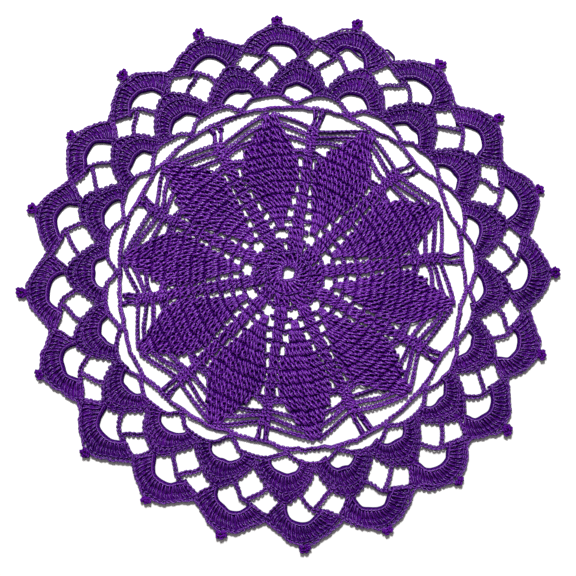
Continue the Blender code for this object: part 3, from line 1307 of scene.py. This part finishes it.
# Chains that run from the petals' stepped sides to the columns.
WEB = ChainMesh(
    name="web_chains",
    place=PATTERN.flower,
    repeats=len(PETALS),
    lines=(
        (Along(7.8, 0.468), Along(2.5, 0.4735), Along(-0.6, 0.476)),
        (Along(12.0, 0.529), Along(5.2, 0.511), Along(0.0, 0.504)),
        (Along(14.6, 0.581), Along(10.0, 0.561), Along(5.0, 0.541), Along(0.0, 0.529)),
        (Along(17.2, 0.614), Along(8.5, 0.582), Along(-0.6, 0.558)),
        (Along(28.6, 0.456), Along(33.5, 0.470), Along(36.0, 0.480)),
        (Along(23.0, 0.524), Along(29.5, 0.516), Along(36.0, 0.505)),
        (Along(19.8, 0.576), Along(25.5, 0.552), Along(30.5, 0.536), Along(36.0, 0.524)),
        (Along(17.8, 0.616), Along(23.0, 0.594), Along(31.0, 0.561), Along(36.0, 0.548)),
    ),
    free=FreeChain(most_roll=0.7, most_twist=90.0),
    seed=23,
)

# Chains between the two rounds of fans.
LINKS = ChainMesh(
    name="link_chains",
    place=PATTERN.ring,
    repeats=len(FANS),
    lines=(
        (Along(4.3, 0.785), Along(5.6, 0.812), Along(6.8, 0.833), Along(8.2, 0.849),
         Along(10.5, 0.860)),
        (Along(8.0, 0.842), Along(9.7, 0.823), Along(11.8, 0.803), Along(13.6, 0.776)),
        (Along(9.6, 0.853), Along(11.2, 0.862), Along(12.8, 0.872), Along(14.0, 0.884)),
        (Along(-0.8, 0.824), Along(-1.7, 0.838), Along(-2.7, 0.855), Along(-3.8, 0.872)),
    ),
    free=FreeChain(most_roll=0.6, most_twist=80.0),
    seed=53,
)


@dataclass(frozen=True)
class ChainRounds:
    """The plain chain round outside the petals and the loops that carry the fans.

    The plain round lies at plain_share at the fans and lower by plain_dip between them, and
    goes plain_turns times round itself. The ties hold the two rounds together at the fans.
    """

    free: FreeChain = FreeChain(most_roll=0.5, most_twist=70.0)
    seed: int = 31
    plain_share: float = 0.640
    plain_dip: float = 0.010
    plain_roll: float = 0.3
    plain_turns: int = 7
    plain_points: int = 8
    loop_slack: float = 0.6
    loop: tuple[Along, ...] = (
        Along(-0.6, 0.652), Along(1.2, 0.660), Along(3.5, 0.676), Along(6.0, 0.684),
        Along(9.0, 0.686), Along(12.0, 0.684), Along(14.5, 0.676), Along(16.8, 0.660),
        Along(18.6, 0.652),
    )
    tie: Row = Row(0.638, 0.662, -0.9, 0.9, -0.8, 0.8, 2)

    def plain_line(self) -> np.ndarray:
        """Closed line of the plain round, pulled out or in at every fan as by hand.

        The dip is 1/2 - cos(2 pi turn / 18) / 2. The knots' pulls count by 1 - dip and the
        slack between two of them by dip.

        Returns:
            The same number of points for each fan, and the first once more.
        """
        knots = [fan.knot for fan in FANS]
        turns = np.linspace(0.0, PATTERN.even_fan, self.plain_points + 1)[:-1]
        dip = 0.5 - 0.5 * np.cos(2.0 * math.pi * turns / PATTERN.even_fan)
        shares = self.plain_share - self.plain_dip * dip
        parts = []
        for fan, row in enumerate(FANS):
            knot = eased(knots, fan + turns / PATTERN.even_fan)
            pulled = knot * (1.0 - dip) + row.slack * dip
            parts.append(PATTERN.ring(fan, turns, shares + pulled))
        parts.append(parts[0][:1])
        return np.concatenate(parts)

    def loop_line(self, fan: int) -> np.ndarray:
        """Line of the loop from one fan's middle to the next one's.

        The bow is sin(pi turn / 18). The knots' pulls count by 1 - bow, and loop_slack times
        the slack between them by bow.

        Args:
            fan: Row of FANS.

        Returns:
            Evenly spaced points.
        """
        turns, shares = np.array(self.loop).T
        onwards = turns / PATTERN.even_fan
        bow = np.sin(math.pi * np.clip(onwards, 0.0, 1.0))
        pulled = eased([row.knot for row in FANS], fan + onwards) * (1.0 - bow)
        shares = shares + pulled + self.loop_slack * FANS[fan].slack * bow
        return smooth_line(PATTERN.ring(fan, turns, shares))

    def build(self, material: Material) -> Object:
        """Builds both rounds.

        Args:
            material: Finish of the thread.

        Returns:
            The piece.
        """
        rng = default_rng(self.seed)
        thread = self.free.thread
        line = self.plain_line()
        twist = self.plain_turns * 2.0 * math.pi / length_of(line)
        chain = Chain(line, Gauge(roll=self.plain_roll, twist=twist), Ends.JOINED)
        shells = [chain.thread(thread, rng)]
        for fan, row in enumerate(FANS):
            shells.append(self.free.chain(self.loop_line(fan), rng))
            inner, outer = self.tie.inner + row.knot, self.tie.outer + row.knot
            tie = self.tie._replace(inner=inner, outer=outer)
            strip = row_strip(partial(PATTERN.ring, fan), tie, POST_POINTS)
            shells.append(strip.stitches(SHORT, thread, rng))
        return Shell.together(shells).piece("chain_rounds", material)


@dataclass(frozen=True)
class Fans:
    """One round of twenty fans, each a row of tall stitches over an arch.

    The crown is a second, low row on the tops. A ridge cord lies on the arch and the cords of
    the rim under it, each as far up and as proud of the row as its pair says. The rim cords
    are dark, in the dark finish: painted shade on the arch's inner wall.
    """

    name: str
    base: tuple[Along, ...]
    top: tuple[Along, ...]
    count: int
    crown: tuple[Along, ...] = ()
    crown_count: int = 0
    crown_from: float = 0.0
    crown_to: float = 1.0
    height: float = 0.00098
    thread: Thread = Thread(radius=0.00036)
    edging: Thread = Thread(radius=0.00042, shades=(0.0, 0.35))
    ridge: Thread = Thread(radius=0.00046, shades=(0.2, 0.7))
    # the rim cords' thread: dark tints, painted shade on the arch's inner wall
    inside: Thread = Thread(radius=0.00056, sides=6, shades=(-0.8, -0.4))
    ridge_place: tuple[float, float] = (0.01, 0.00066)
    rim: tuple[tuple[float, float], ...] = ((-0.11, -0.00042), (-0.07, 0.00008))
    seed: int = 41

    def build(self, material: Material) -> tuple[Object, list[Shell]]:
        """Builds the whole round of fans.

        Args:
            material: Finish of the thread.

        Returns:
            The piece, and the ground under it.
        """
        rng = default_rng(self.seed)
        shells, grounds = [], []
        for fan in range(len(FANS)):
            place = partial(PATTERN.ring, fan)
            top = route(place, self.top)
            strip = Strip(route(place, self.base), top, self.count, self.height)
            shells.append(strip.stitches(BARRED, self.thread, rng))
            shells.append(strip.cord(*self.ridge_place, self.ridge, rng))
            # rim cords in the dark finish: painted shade on the arch's inner wall
            for up, proud in self.rim:
                grounds.append(strip.cord(up, proud, self.inside, rng))
            shells.append(strip.head(self.edging, rng))
            grounds.append(strip.ground(BARRED))
            if self.crown:
                low = read_line(top, np.linspace(self.crown_from, self.crown_to, LINE_POINTS))
                crown = Strip(low, route(place, self.crown), self.crown_count, self.height)
                shells.append(crown.stitches(SHORT, self.edging, rng))
                shells.append(crown.head(self.edging, rng))
                grounds.append(crown.ground(SHORT))
        return Shell.together(shells).piece(self.name, material), grounds


INNER_FANS = Fans(
    name="inner_fans",
    base=(
        Along(-5.3, 0.680), Along(-4.9, 0.698), Along(-3.6, 0.717), Along(-1.9, 0.728),
        Along(0.0, 0.731), Along(1.9, 0.728), Along(3.6, 0.717), Along(4.9, 0.698),
        Along(5.3, 0.680),
    ),
    top=(
        Along(-8.7, 0.692), Along(-8.3, 0.708), Along(-7.1, 0.727), Along(-5.4, 0.752),
        Along(-3.0, 0.778), Along(0.0, 0.791), Along(3.0, 0.778), Along(5.4, 0.752),
        Along(7.1, 0.727), Along(8.3, 0.708), Along(8.7, 0.692),
    ),
    count=17,
    crown=(
        Along(-8.9, 0.710), Along(-7.8, 0.735), Along(-5.9, 0.765), Along(-3.4, 0.799),
        Along(0.0, 0.823), Along(3.4, 0.799), Along(5.9, 0.765), Along(7.8, 0.735),
        Along(8.9, 0.710),
    ),
    crown_count=17,
    crown_from=0.06,
    crown_to=0.94,
    seed=43,
)

OUTER_FANS = Fans(
    name="outer_fans",
    base=(
        Along(-0.1, 0.828), Along(0.4, 0.848), Along(1.3, 0.872), Along(2.9, 0.889),
        Along(4.9, 0.8955), Along(7.0, 0.890), Along(8.6, 0.875), Along(9.6, 0.861),
        Along(10.4, 0.848),
    ),
    top=(
        Along(-3.9, 0.876), Along(-3.1, 0.893), Along(-1.6, 0.911), Along(0.3, 0.932),
        Along(2.7, 0.949), Along(4.9, 0.953), Along(7.1, 0.949), Along(9.5, 0.932),
        Along(11.6, 0.911), Along(13.1, 0.893), Along(14.0, 0.876),
    ),
    count=18,
    seed=47,
)


@dataclass(frozen=True)
class Edge:
    """The twisted rope along the scalloped edge, its picots and two loose threads.

    A picot's points are its turns, in degrees beside its middle, and its rises, as parts of
    its height. Its foot is sunk into the rope, and its line stops short of the tip.
    """

    thread: Thread = Thread(radius=0.00042, sides=5, shades=(0.1, 0.6))
    knotted: Thread = Thread(radius=0.00054, sides=6, shades=(0.8, 1.6))
    fine: Thread = Thread(radius=0.00048, sides=6, shades=(-0.9, -0.5))
    loose: tuple[tuple[Along, ...], ...] = (
        (Along(67.3, 0.914), Along(66.9, 0.929), Along(66.3, 0.939), Along(65.3, 0.938),
         Along(64.3, 0.927), Along(63.6, 0.905)),
        (Along(78.2, 0.869), Along(77.0, 0.881), Along(76.2, 0.896), Along(74.9, 0.899),
         Along(72.8, 0.886), Along(70.6, 0.873)),
    )
    loose_height: float = 0.00120
    valley: float = 0.897
    shoulder: float = 0.9655
    climb_power: float = 1.5
    half_points: int = 12
    rope_points: int = 64
    rope_gauge: Gauge = Gauge(pitch=0.0040, half_width=0.00028, height=0.00125)
    picot_turns: tuple[float, ...] = (-0.35, -0.40, -0.85, -0.60, 0.20, 0.80, 0.35, 0.30)
    picot_rises: tuple[float, ...] = (0.0, 0.35, 0.72, 1.02, 0.96, 0.70, 0.35, 0.0)
    picot_sunk: float = 0.004
    picot_short: float = 0.008
    picot_points: int = 24
    picot_gauge: Gauge = Gauge(pitch=0.0017, half_width=0.00052, height=0.00120, roll=0.3)
    seed: int = 61

    def scallop(self, start: float, stop: float, picot: float) -> np.ndarray:
        """Rope's line from one valley over a shoulder to the next valley.

        The share rises from valley to shoulder by a quarter sine to the power climb_power.

        Args:
            start: Angle of the valley before it.
            stop: Angle of the valley after it.
            picot: Angle of its highest point.

        Returns:
            Evenly spaced points.
        """
        rising = np.linspace(start, picot, self.half_points)[:-1]
        angles = np.concatenate([rising, np.linspace(picot, stop, self.half_points)])
        before = (angles - start) / (picot - start)
        after = (stop - angles) / (stop - picot)
        near = np.clip(np.minimum(before, after), 0.0, 1.0)
        climb = np.sin(0.5 * math.pi * near) ** self.climb_power
        share = self.valley + (self.shoulder - self.valley) * climb
        return smooth_line(PATTERN.spot(angles, share + PATTERN.pull(angles)), self.rope_points)

    def picot(self, angle: float, tip: float) -> np.ndarray:
        """Tight loop of chain that stands on the edge, out one side and back the other.

        Args:
            angle: Angle of the picot.
            tip: Share of its tip.

        Returns:
            Evenly spaced points.
        """
        foot = self.shoulder + PATTERN.pull(np.array(angle)) - self.picot_sunk
        rise = tip - self.picot_short - foot
        turns = angle + np.array(self.picot_turns)
        shares = foot + rise * np.array(self.picot_rises)
        return smooth_line(PATTERN.spot(turns, shares), self.picot_points)

    def build(self, material: Material) -> tuple[Object, list[Shell]]:
        """Builds the rope, the picots and the loose threads.

        Args:
            material: Finish of the rope.

        Returns:
            The rope, and the picots and loose threads, which are darker.
        """
        rng = default_rng(self.seed)
        shells, knots = [], []
        valleys = RoundTable([fan.valley for fan in FANS])
        for number, fan in enumerate(FANS):
            start = float(valleys.angle(number - 1.0))
            rope = Chain(self.scallop(start, fan.valley, fan.picot), self.rope_gauge)
            shells.append(rope.rope(self.thread, rng))
            knot = Chain(self.picot(fan.picot, fan.tip), self.picot_gauge)
            knots.append(knot.thread(self.knotted, rng))
        for points in self.loose:
            line = route(PATTERN.spot, points)
            path = np.column_stack([line, np.full(len(line), self.loose_height)])[None]
            knots.append(self.fine.carry(path, UPWARDS, Ends.OPEN, rng))
        return Shell.together(shells).piece("edge_rope", material), knots


@dataclass(frozen=True)
class Cotton:
    """Mercerised cotton thread, dyed: plies that twist, and a soft shine of the gleam's hue.

    The dye lies between deep and bright, and painted shade darkens the ply grooves and the
    thread's sides. A whole ply stands relief_depth out of its grooves.
    """

    name: str
    deep: tuple[float, float, float]
    bright: tuple[float, float, float]
    roughness: float = 0.33
    shine: float = 0.55
    gleam: tuple[float, float, float] = (0.95, 0.86, 1.0)
    plies: float = 3.0
    relief: float = 0.8
    relief_depth: float = 0.00020

    def material(self) -> Material:
        """Builds the material. The edge of a thread is 1 - |z of its normal|: its sides, which
        get painted shade.

        Returns:
            The finish.
        """
        material = bpy.data.materials.new(self.name)
        material.use_nodes = True
        tree = material.node_tree
        shader = tree.nodes["Principled BSDF"]
        shader.inputs["Specular IOR Level"].default_value = self.shine
        shader.inputs["Specular Tint"].default_value = (*self.gleam, 1.0)
        dye = tree.nodes.new("ShaderNodeGroup")
        dye.node_tree = DyeAndShade().group()
        dye.inputs["Deep"].default_value = (*self.deep, 1.0)
        dye.inputs["Bright"].default_value = (*self.bright, 1.0)
        dye.inputs["Dullness"].default_value = self.roughness
        place = tree.nodes.new("ShaderNodeTexCoord")
        tint = tree.nodes.new("ShaderNodeAttribute")
        tint.attribute_name = "tint"
        ply = tree.nodes.new("ShaderNodeGroup")
        ply.node_tree = Plies().group()
        ply.inputs["Plies"].default_value = self.plies
        bump = tree.nodes.new("ShaderNodeBump")
        bump.inputs["Strength"].default_value = self.relief
        bump.inputs["Distance"].default_value = self.relief_depth
        link = tree.links.new
        # painted shade: the thread's sides, 1 - |z of the normal|, darken its colour
        lean = tree.nodes.new("ShaderNodeSeparateXYZ")
        link(place.outputs["Normal"], lean.inputs[0])
        upright = maths(tree, "ABSOLUTE", lean.outputs["Z"])
        link(maths(tree, "SUBTRACT", 1.0, upright), dye.inputs["Edge"])
        link(place.outputs["Object"], dye.inputs["Place"])
        link(tint.outputs["Fac"], dye.inputs["Tint"])
        link(place.outputs["UV"], ply.inputs["Map"])
        link(place.outputs["Object"], ply.inputs["Place"])
        link(ply.outputs["Groove"], dye.inputs["Groove"])
        link(dye.outputs["Colour"], shader.inputs["Base Color"])
        link(dye.outputs["Roughness"], shader.inputs["Roughness"])
        link(ply.outputs["Height"], bump.inputs["Height"])
        link(bump.outputs["Normal"], shader.inputs["Normal"])
        return material


VIOLET = Cotton("violet_thread", deep=(0.042, 0.0002, 0.150), bright=(0.214, 0.024, 0.450))
# Darker copy of the violet thread for fans, links and edge: painted shade on the outer rounds.
SHADED_OUTER_VIOLET = Cotton("outer_thread_shaded", deep=(0.038, 0.0002, 0.136), bright=(0.180, 0.019, 0.380))
# Dark dull finish: painted shade on sheets, seams and rim cords; also darker picots, loose
# threads.
SHADED_DARK_VIOLET = Cotton("shaded_dark_thread", deep=(0.022, 0.0002, 0.086), bright=(0.110, 0.006, 0.270),
                       roughness=0.9, shine=0.05)

FINE_LAYERS = 2.0


class Socket(Enum):
    """Types of the sockets of a node group."""

    VECTOR = "NodeSocketVector"
    NUMBER = "NodeSocketFloat"
    COLOUR = "NodeSocketColor"


def group_tree(
    name: str, inputs: dict[str, Socket], outputs: dict[str, Socket]
) -> tuple[NodeTree, Node | None, Node | None]:
    """New node group with named sockets, or the one that is there.

    Args:
        name: Name of the group.
        inputs: Type of each input.
        outputs: Type of each output.

    Returns:
        The tree, its input node and its output node, or None for both where it was there.
    """
    found = bpy.data.node_groups.get(name)
    if found:
        return found, None, None
    tree = bpy.data.node_groups.new(name, "ShaderNodeTree")
    for side, sockets in (("INPUT", inputs), ("OUTPUT", outputs)):
        for label, kind in sockets.items():
            tree.interface.new_socket(label, in_out=side, socket_type=kind.value)
    return tree, tree.nodes.new("NodeGroupInput"), tree.nodes.new("NodeGroupOutput")


def maths(tree: NodeTree, kind: str, *values: NodeSocket | float) -> NodeSocket:
    """Adds a Math node.

    Args:
        tree: Where it goes.
        kind: Its operation.
        values: Sockets to link or numbers to set, in order.

    Returns:
        Its result.
    """
    node = tree.nodes.new("ShaderNodeMath")
    node.operation = kind
    for index, value in enumerate(values):
        if isinstance(value, (int, float)):
            node.inputs[index].default_value = value
        else:
            tree.links.new(value, node.inputs[index])
    return node.outputs[0]


def noise(tree: NodeTree, place: NodeSocket, scale: float, detail: float) -> NodeSocket:
    """Adds a Noise Texture.

    Args:
        tree: Where it goes.
        place: Vector it reads.
        scale: Its scale, for each metre.
        detail: Its finer layers.

    Returns:
        Its value, around 0.5.
    """
    node = tree.nodes.new("ShaderNodeTexNoise")
    node.inputs["Scale"].default_value = scale
    node.inputs["Detail"].default_value = detail
    tree.links.new(place, node.inputs["Vector"])
    return node.outputs[0]


@dataclass(frozen=True)
class Plies:
    """Relief of the twisted plies, with fine fibres on them."""

    fibre_scale: float = 5200.0
    fibre_height: float = 0.35

    def group(self) -> NodeTree:
        """Node group of the relief.

        The ridge is |sin(pi (plies v + u))| for the map's u along the thread and v around it.
        The height is the ridge plus fibre_height times the fibres' noise, and the groove is
        1 less the ridge: the mask for the painted shade in the grooves.

        Returns:
            Group from Map, Place and Plies to Height and Groove.
        """
        sockets = {"Map": Socket.VECTOR, "Place": Socket.VECTOR, "Plies": Socket.NUMBER}
        results = {"Height": Socket.NUMBER, "Groove": Socket.NUMBER}
        tree, start, end = group_tree("Twisted plies", sockets, results)
        if start is None:
            return tree
        split = tree.nodes.new("ShaderNodeSeparateXYZ")
        tree.links.new(start.outputs["Map"], split.inputs[0])
        around, along = split.outputs["Y"], split.outputs["X"]
        phase = maths(tree, "MULTIPLY_ADD", around, start.outputs["Plies"], along)
        wave = maths(tree, "SINE", maths(tree, "MULTIPLY", phase, math.pi))
        ridge = maths(tree, "ABSOLUTE", wave)
        fibres = noise(tree, start.outputs["Place"], self.fibre_scale, FINE_LAYERS)
        height = maths(tree, "MULTIPLY_ADD", fibres, self.fibre_height, ridge)
        groove = maths(tree, "SUBTRACT", 1.0, ridge)
        tree.links.new(height, end.inputs["Height"])
        tree.links.new(groove, end.inputs["Groove"])
        return tree


@dataclass(frozen=True)
class DyeAndShade:
    """Colour of the dyed thread by stitch, patch and fleck, and painted shade by groove and edge.

    Each field named by_ is what its cause adds to the level of the dye; the groove and edge
    fields are painted shade, darker in the ply grooves and on the thread's sides.
    """

    base: float = 0.65
    by_tint: float = 0.45
    by_fleck: float = 0.5
    # these two are painted shade: darker in the ply grooves and on the thread's sides
    by_groove_shade: float = -1.20
    by_side_shade: float = -1.80
    power: float = 2.4
    patch_scale: float = 45.0
    fleck_scale: float = 900.0
    fleck_layers: float = 1.0
    dulled_by_fleck: float = 0.12

    def group(self) -> NodeTree:
        """Node group of the colour, with painted shade in the grooves and on the thread's sides.

        The level is base + by_tint tint + patches + by_fleck (flecks - 1/2) + by_groove_shade
        groove + by_side_shade edge, and at least 0. Raised to the power, it is how far the colour
        has gone from deep to bright. The roughness is the dullness + dulled_by_fleck (flecks
        - 1/2).

        Returns:
            Group from Place, Tint, Groove, Edge, Deep, Bright and Dullness to Colour and
            Roughness.
        """
        sockets = {"Place": Socket.VECTOR}
        sockets |= dict.fromkeys(("Tint", "Groove", "Edge"), Socket.NUMBER)
        sockets |= dict.fromkeys(("Deep", "Bright"), Socket.COLOUR)
        sockets["Dullness"] = Socket.NUMBER
        results = {"Colour": Socket.COLOUR, "Roughness": Socket.NUMBER}
        tree, start, end = group_tree("Dyed and shaded cotton", sockets, results)
        if start is None:
            return tree
        patches = noise(tree, start.outputs["Place"], self.patch_scale, FINE_LAYERS)
        flecks = noise(tree, start.outputs["Place"], self.fleck_scale, self.fleck_layers)
        level = maths(tree, "MULTIPLY_ADD", start.outputs["Tint"], self.by_tint, self.base)
        level = maths(tree, "ADD", level, patches)
        level = maths(tree, "SUBTRACT", level, 0.5 * self.by_fleck)
        level = maths(tree, "MULTIPLY_ADD", flecks, self.by_fleck, level)
        # painted shade: darker in the ply grooves and on the thread's sides
        level = maths(tree, "MULTIPLY_ADD", start.outputs["Groove"], self.by_groove_shade, level)
        level = maths(tree, "MULTIPLY_ADD", start.outputs["Edge"], self.by_side_shade, level)
        level = maths(tree, "POWER", maths(tree, "MAXIMUM", level, 0.0), self.power)
        mix = tree.nodes.new("ShaderNodeMix")
        mix.data_type = "RGBA"
        tree.links.new(level, mix.inputs["Factor"])
        tree.links.new(start.outputs["Deep"], mix.inputs["A"])
        tree.links.new(start.outputs["Bright"], mix.inputs["B"])
        dull = start.outputs["Dullness"]
        rough = maths(tree, "MULTIPLY_ADD", flecks, self.dulled_by_fleck, dull)
        rough = maths(tree, "SUBTRACT", rough, 0.5 * self.dulled_by_fleck)
        tree.links.new(mix.outputs["Result"], end.inputs["Colour"])
        tree.links.new(rough, end.inputs["Roughness"])
        return tree


@dataclass(frozen=True)
class Studio:
    """Camera at the photograph's angle, soft light from above and a white floor."""

    camera_place: tuple[float, float, float] = (0.0, -0.08817, 0.45039)
    camera_tilt: float = 10.243
    lens: float = 65.11
    sensor: float = 36.0
    nearest: float = 0.01
    floor_size: float = 3.0
    floor_dark: tuple[float, float, float] = (0.88, 0.88, 0.87)
    floor_pale: tuple[float, float, float] = (0.91, 0.91, 0.91)
    floor_roughness: float = 0.9
    floor_shine: float = 0.1
    floor_scale: float = 6.0
    lamp_place: tuple[float, float, float] = (-0.15, 1.00, 1.20)
    lamp_size: float = 0.40
    lamp_power: float = 37.0
    sky: float = 0.22
    sky_colour: tuple[float, float, float] = (1.0, 0.94, 0.93)

    def camera(self) -> None:
        """Adds the camera, which looks almost straight down."""
        data = bpy.data.cameras.new("camera")
        data.lens = self.lens
        data.sensor_width = self.sensor
        data.clip_start = self.nearest
        camera = bpy.data.objects.new("camera", data)
        camera.location = self.camera_place
        camera.rotation_euler = (math.radians(self.camera_tilt), 0.0, 0.0)
        bpy.context.scene.collection.objects.link(camera)
        bpy.context.scene.camera = camera

    def floor(self) -> None:
        """Adds the floor, a paper-white sheet with a faint unevenness."""
        half = 0.5 * self.floor_size
        mesh = bpy.data.meshes.new("floor")
        corners = [(-half, -half, 0.0), (half, -half, 0.0), (half, half, 0.0), (-half, half, 0.0)]
        mesh.from_pydata(corners, [], [(0, 1, 2, 3)])
        material = bpy.data.materials.new("white_paper")
        material.use_nodes = True
        tree = material.node_tree
        shader = tree.nodes["Principled BSDF"]
        shader.inputs["Roughness"].default_value = self.floor_roughness
        shader.inputs["Specular IOR Level"].default_value = self.floor_shine
        place = tree.nodes.new("ShaderNodeTexCoord").outputs["Object"]
        mix = tree.nodes.new("ShaderNodeMix")
        mix.data_type = "RGBA"
        mix.inputs["A"].default_value = (*self.floor_dark, 1.0)
        mix.inputs["B"].default_value = (*self.floor_pale, 1.0)
        tree.links.new(noise(tree, place, self.floor_scale, FINE_LAYERS), mix.inputs["Factor"])
        tree.links.new(mix.outputs["Result"], shader.inputs["Base Color"])
        mesh.materials.append(material)
        floor = bpy.data.objects.new("floor", mesh)
        bpy.context.scene.collection.objects.link(floor)

    def lights(self) -> None:
        """Adds one broad lamp towards +Y and an even, faintly warm sky."""
        data = bpy.data.lights.new("lamp", "AREA")
        data.shape = "DISK"
        data.size = self.lamp_size
        data.energy = self.lamp_power
        lamp = bpy.data.objects.new("lamp", data)
        lamp.location = self.lamp_place
        x, y, z = self.lamp_place
        lamp.rotation_euler = (math.atan2(-y, z), math.atan2(x, math.hypot(y, z)), 0.0)
        bpy.context.scene.collection.objects.link(lamp)
        world = bpy.data.worlds.new("sky")
        world.use_nodes = True
        background = world.node_tree.nodes["Background"]
        background.inputs["Color"].default_value = (*self.sky_colour, 1.0)
        background.inputs["Strength"].default_value = self.sky
        bpy.context.scene.world = world

    def build(self) -> None:
        """Sets up the whole studio."""
        self.camera()
        self.floor()
        self.lights()
        bpy.context.scene.view_settings.view_transform = "Standard"


def main() -> None:
    """Builds the doily and its studio."""
    logging.basicConfig(level=logging.INFO, format="%(name)s: %(message)s")
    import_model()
    Studio().build()
    violet, shaded_outer_violet = VIOLET.material(), SHADED_OUTER_VIOLET.material()
    dark = SHADED_DARK_VIOLET.material()

    flower = Flower()
    centre, centre_ground = flower.centre(violet)
    petals, petal_ground = flower.petals(violet)
    web = WEB.build(violet)
    rounds = ChainRounds().build(violet)
    # fans, links and edge take the darker copy: painted shade on the outer rounds
    inner, inner_ground = INNER_FANS.build(shaded_outer_violet)
    links = LINKS.build(shaded_outer_violet)
    outer, outer_ground = OUTER_FANS.build(shaded_outer_violet)
    edge, knots = Edge().build(shaded_outer_violet)
    # dark piece: painted shade on sheets, seams, rim cords; also the darker picots, loose threads
    shells = centre_ground + petal_ground + inner_ground + outer_ground + knots
    ground = Shell.together(shells).piece("doily_ground", dark)


if __name__ == "__main__":
    main()
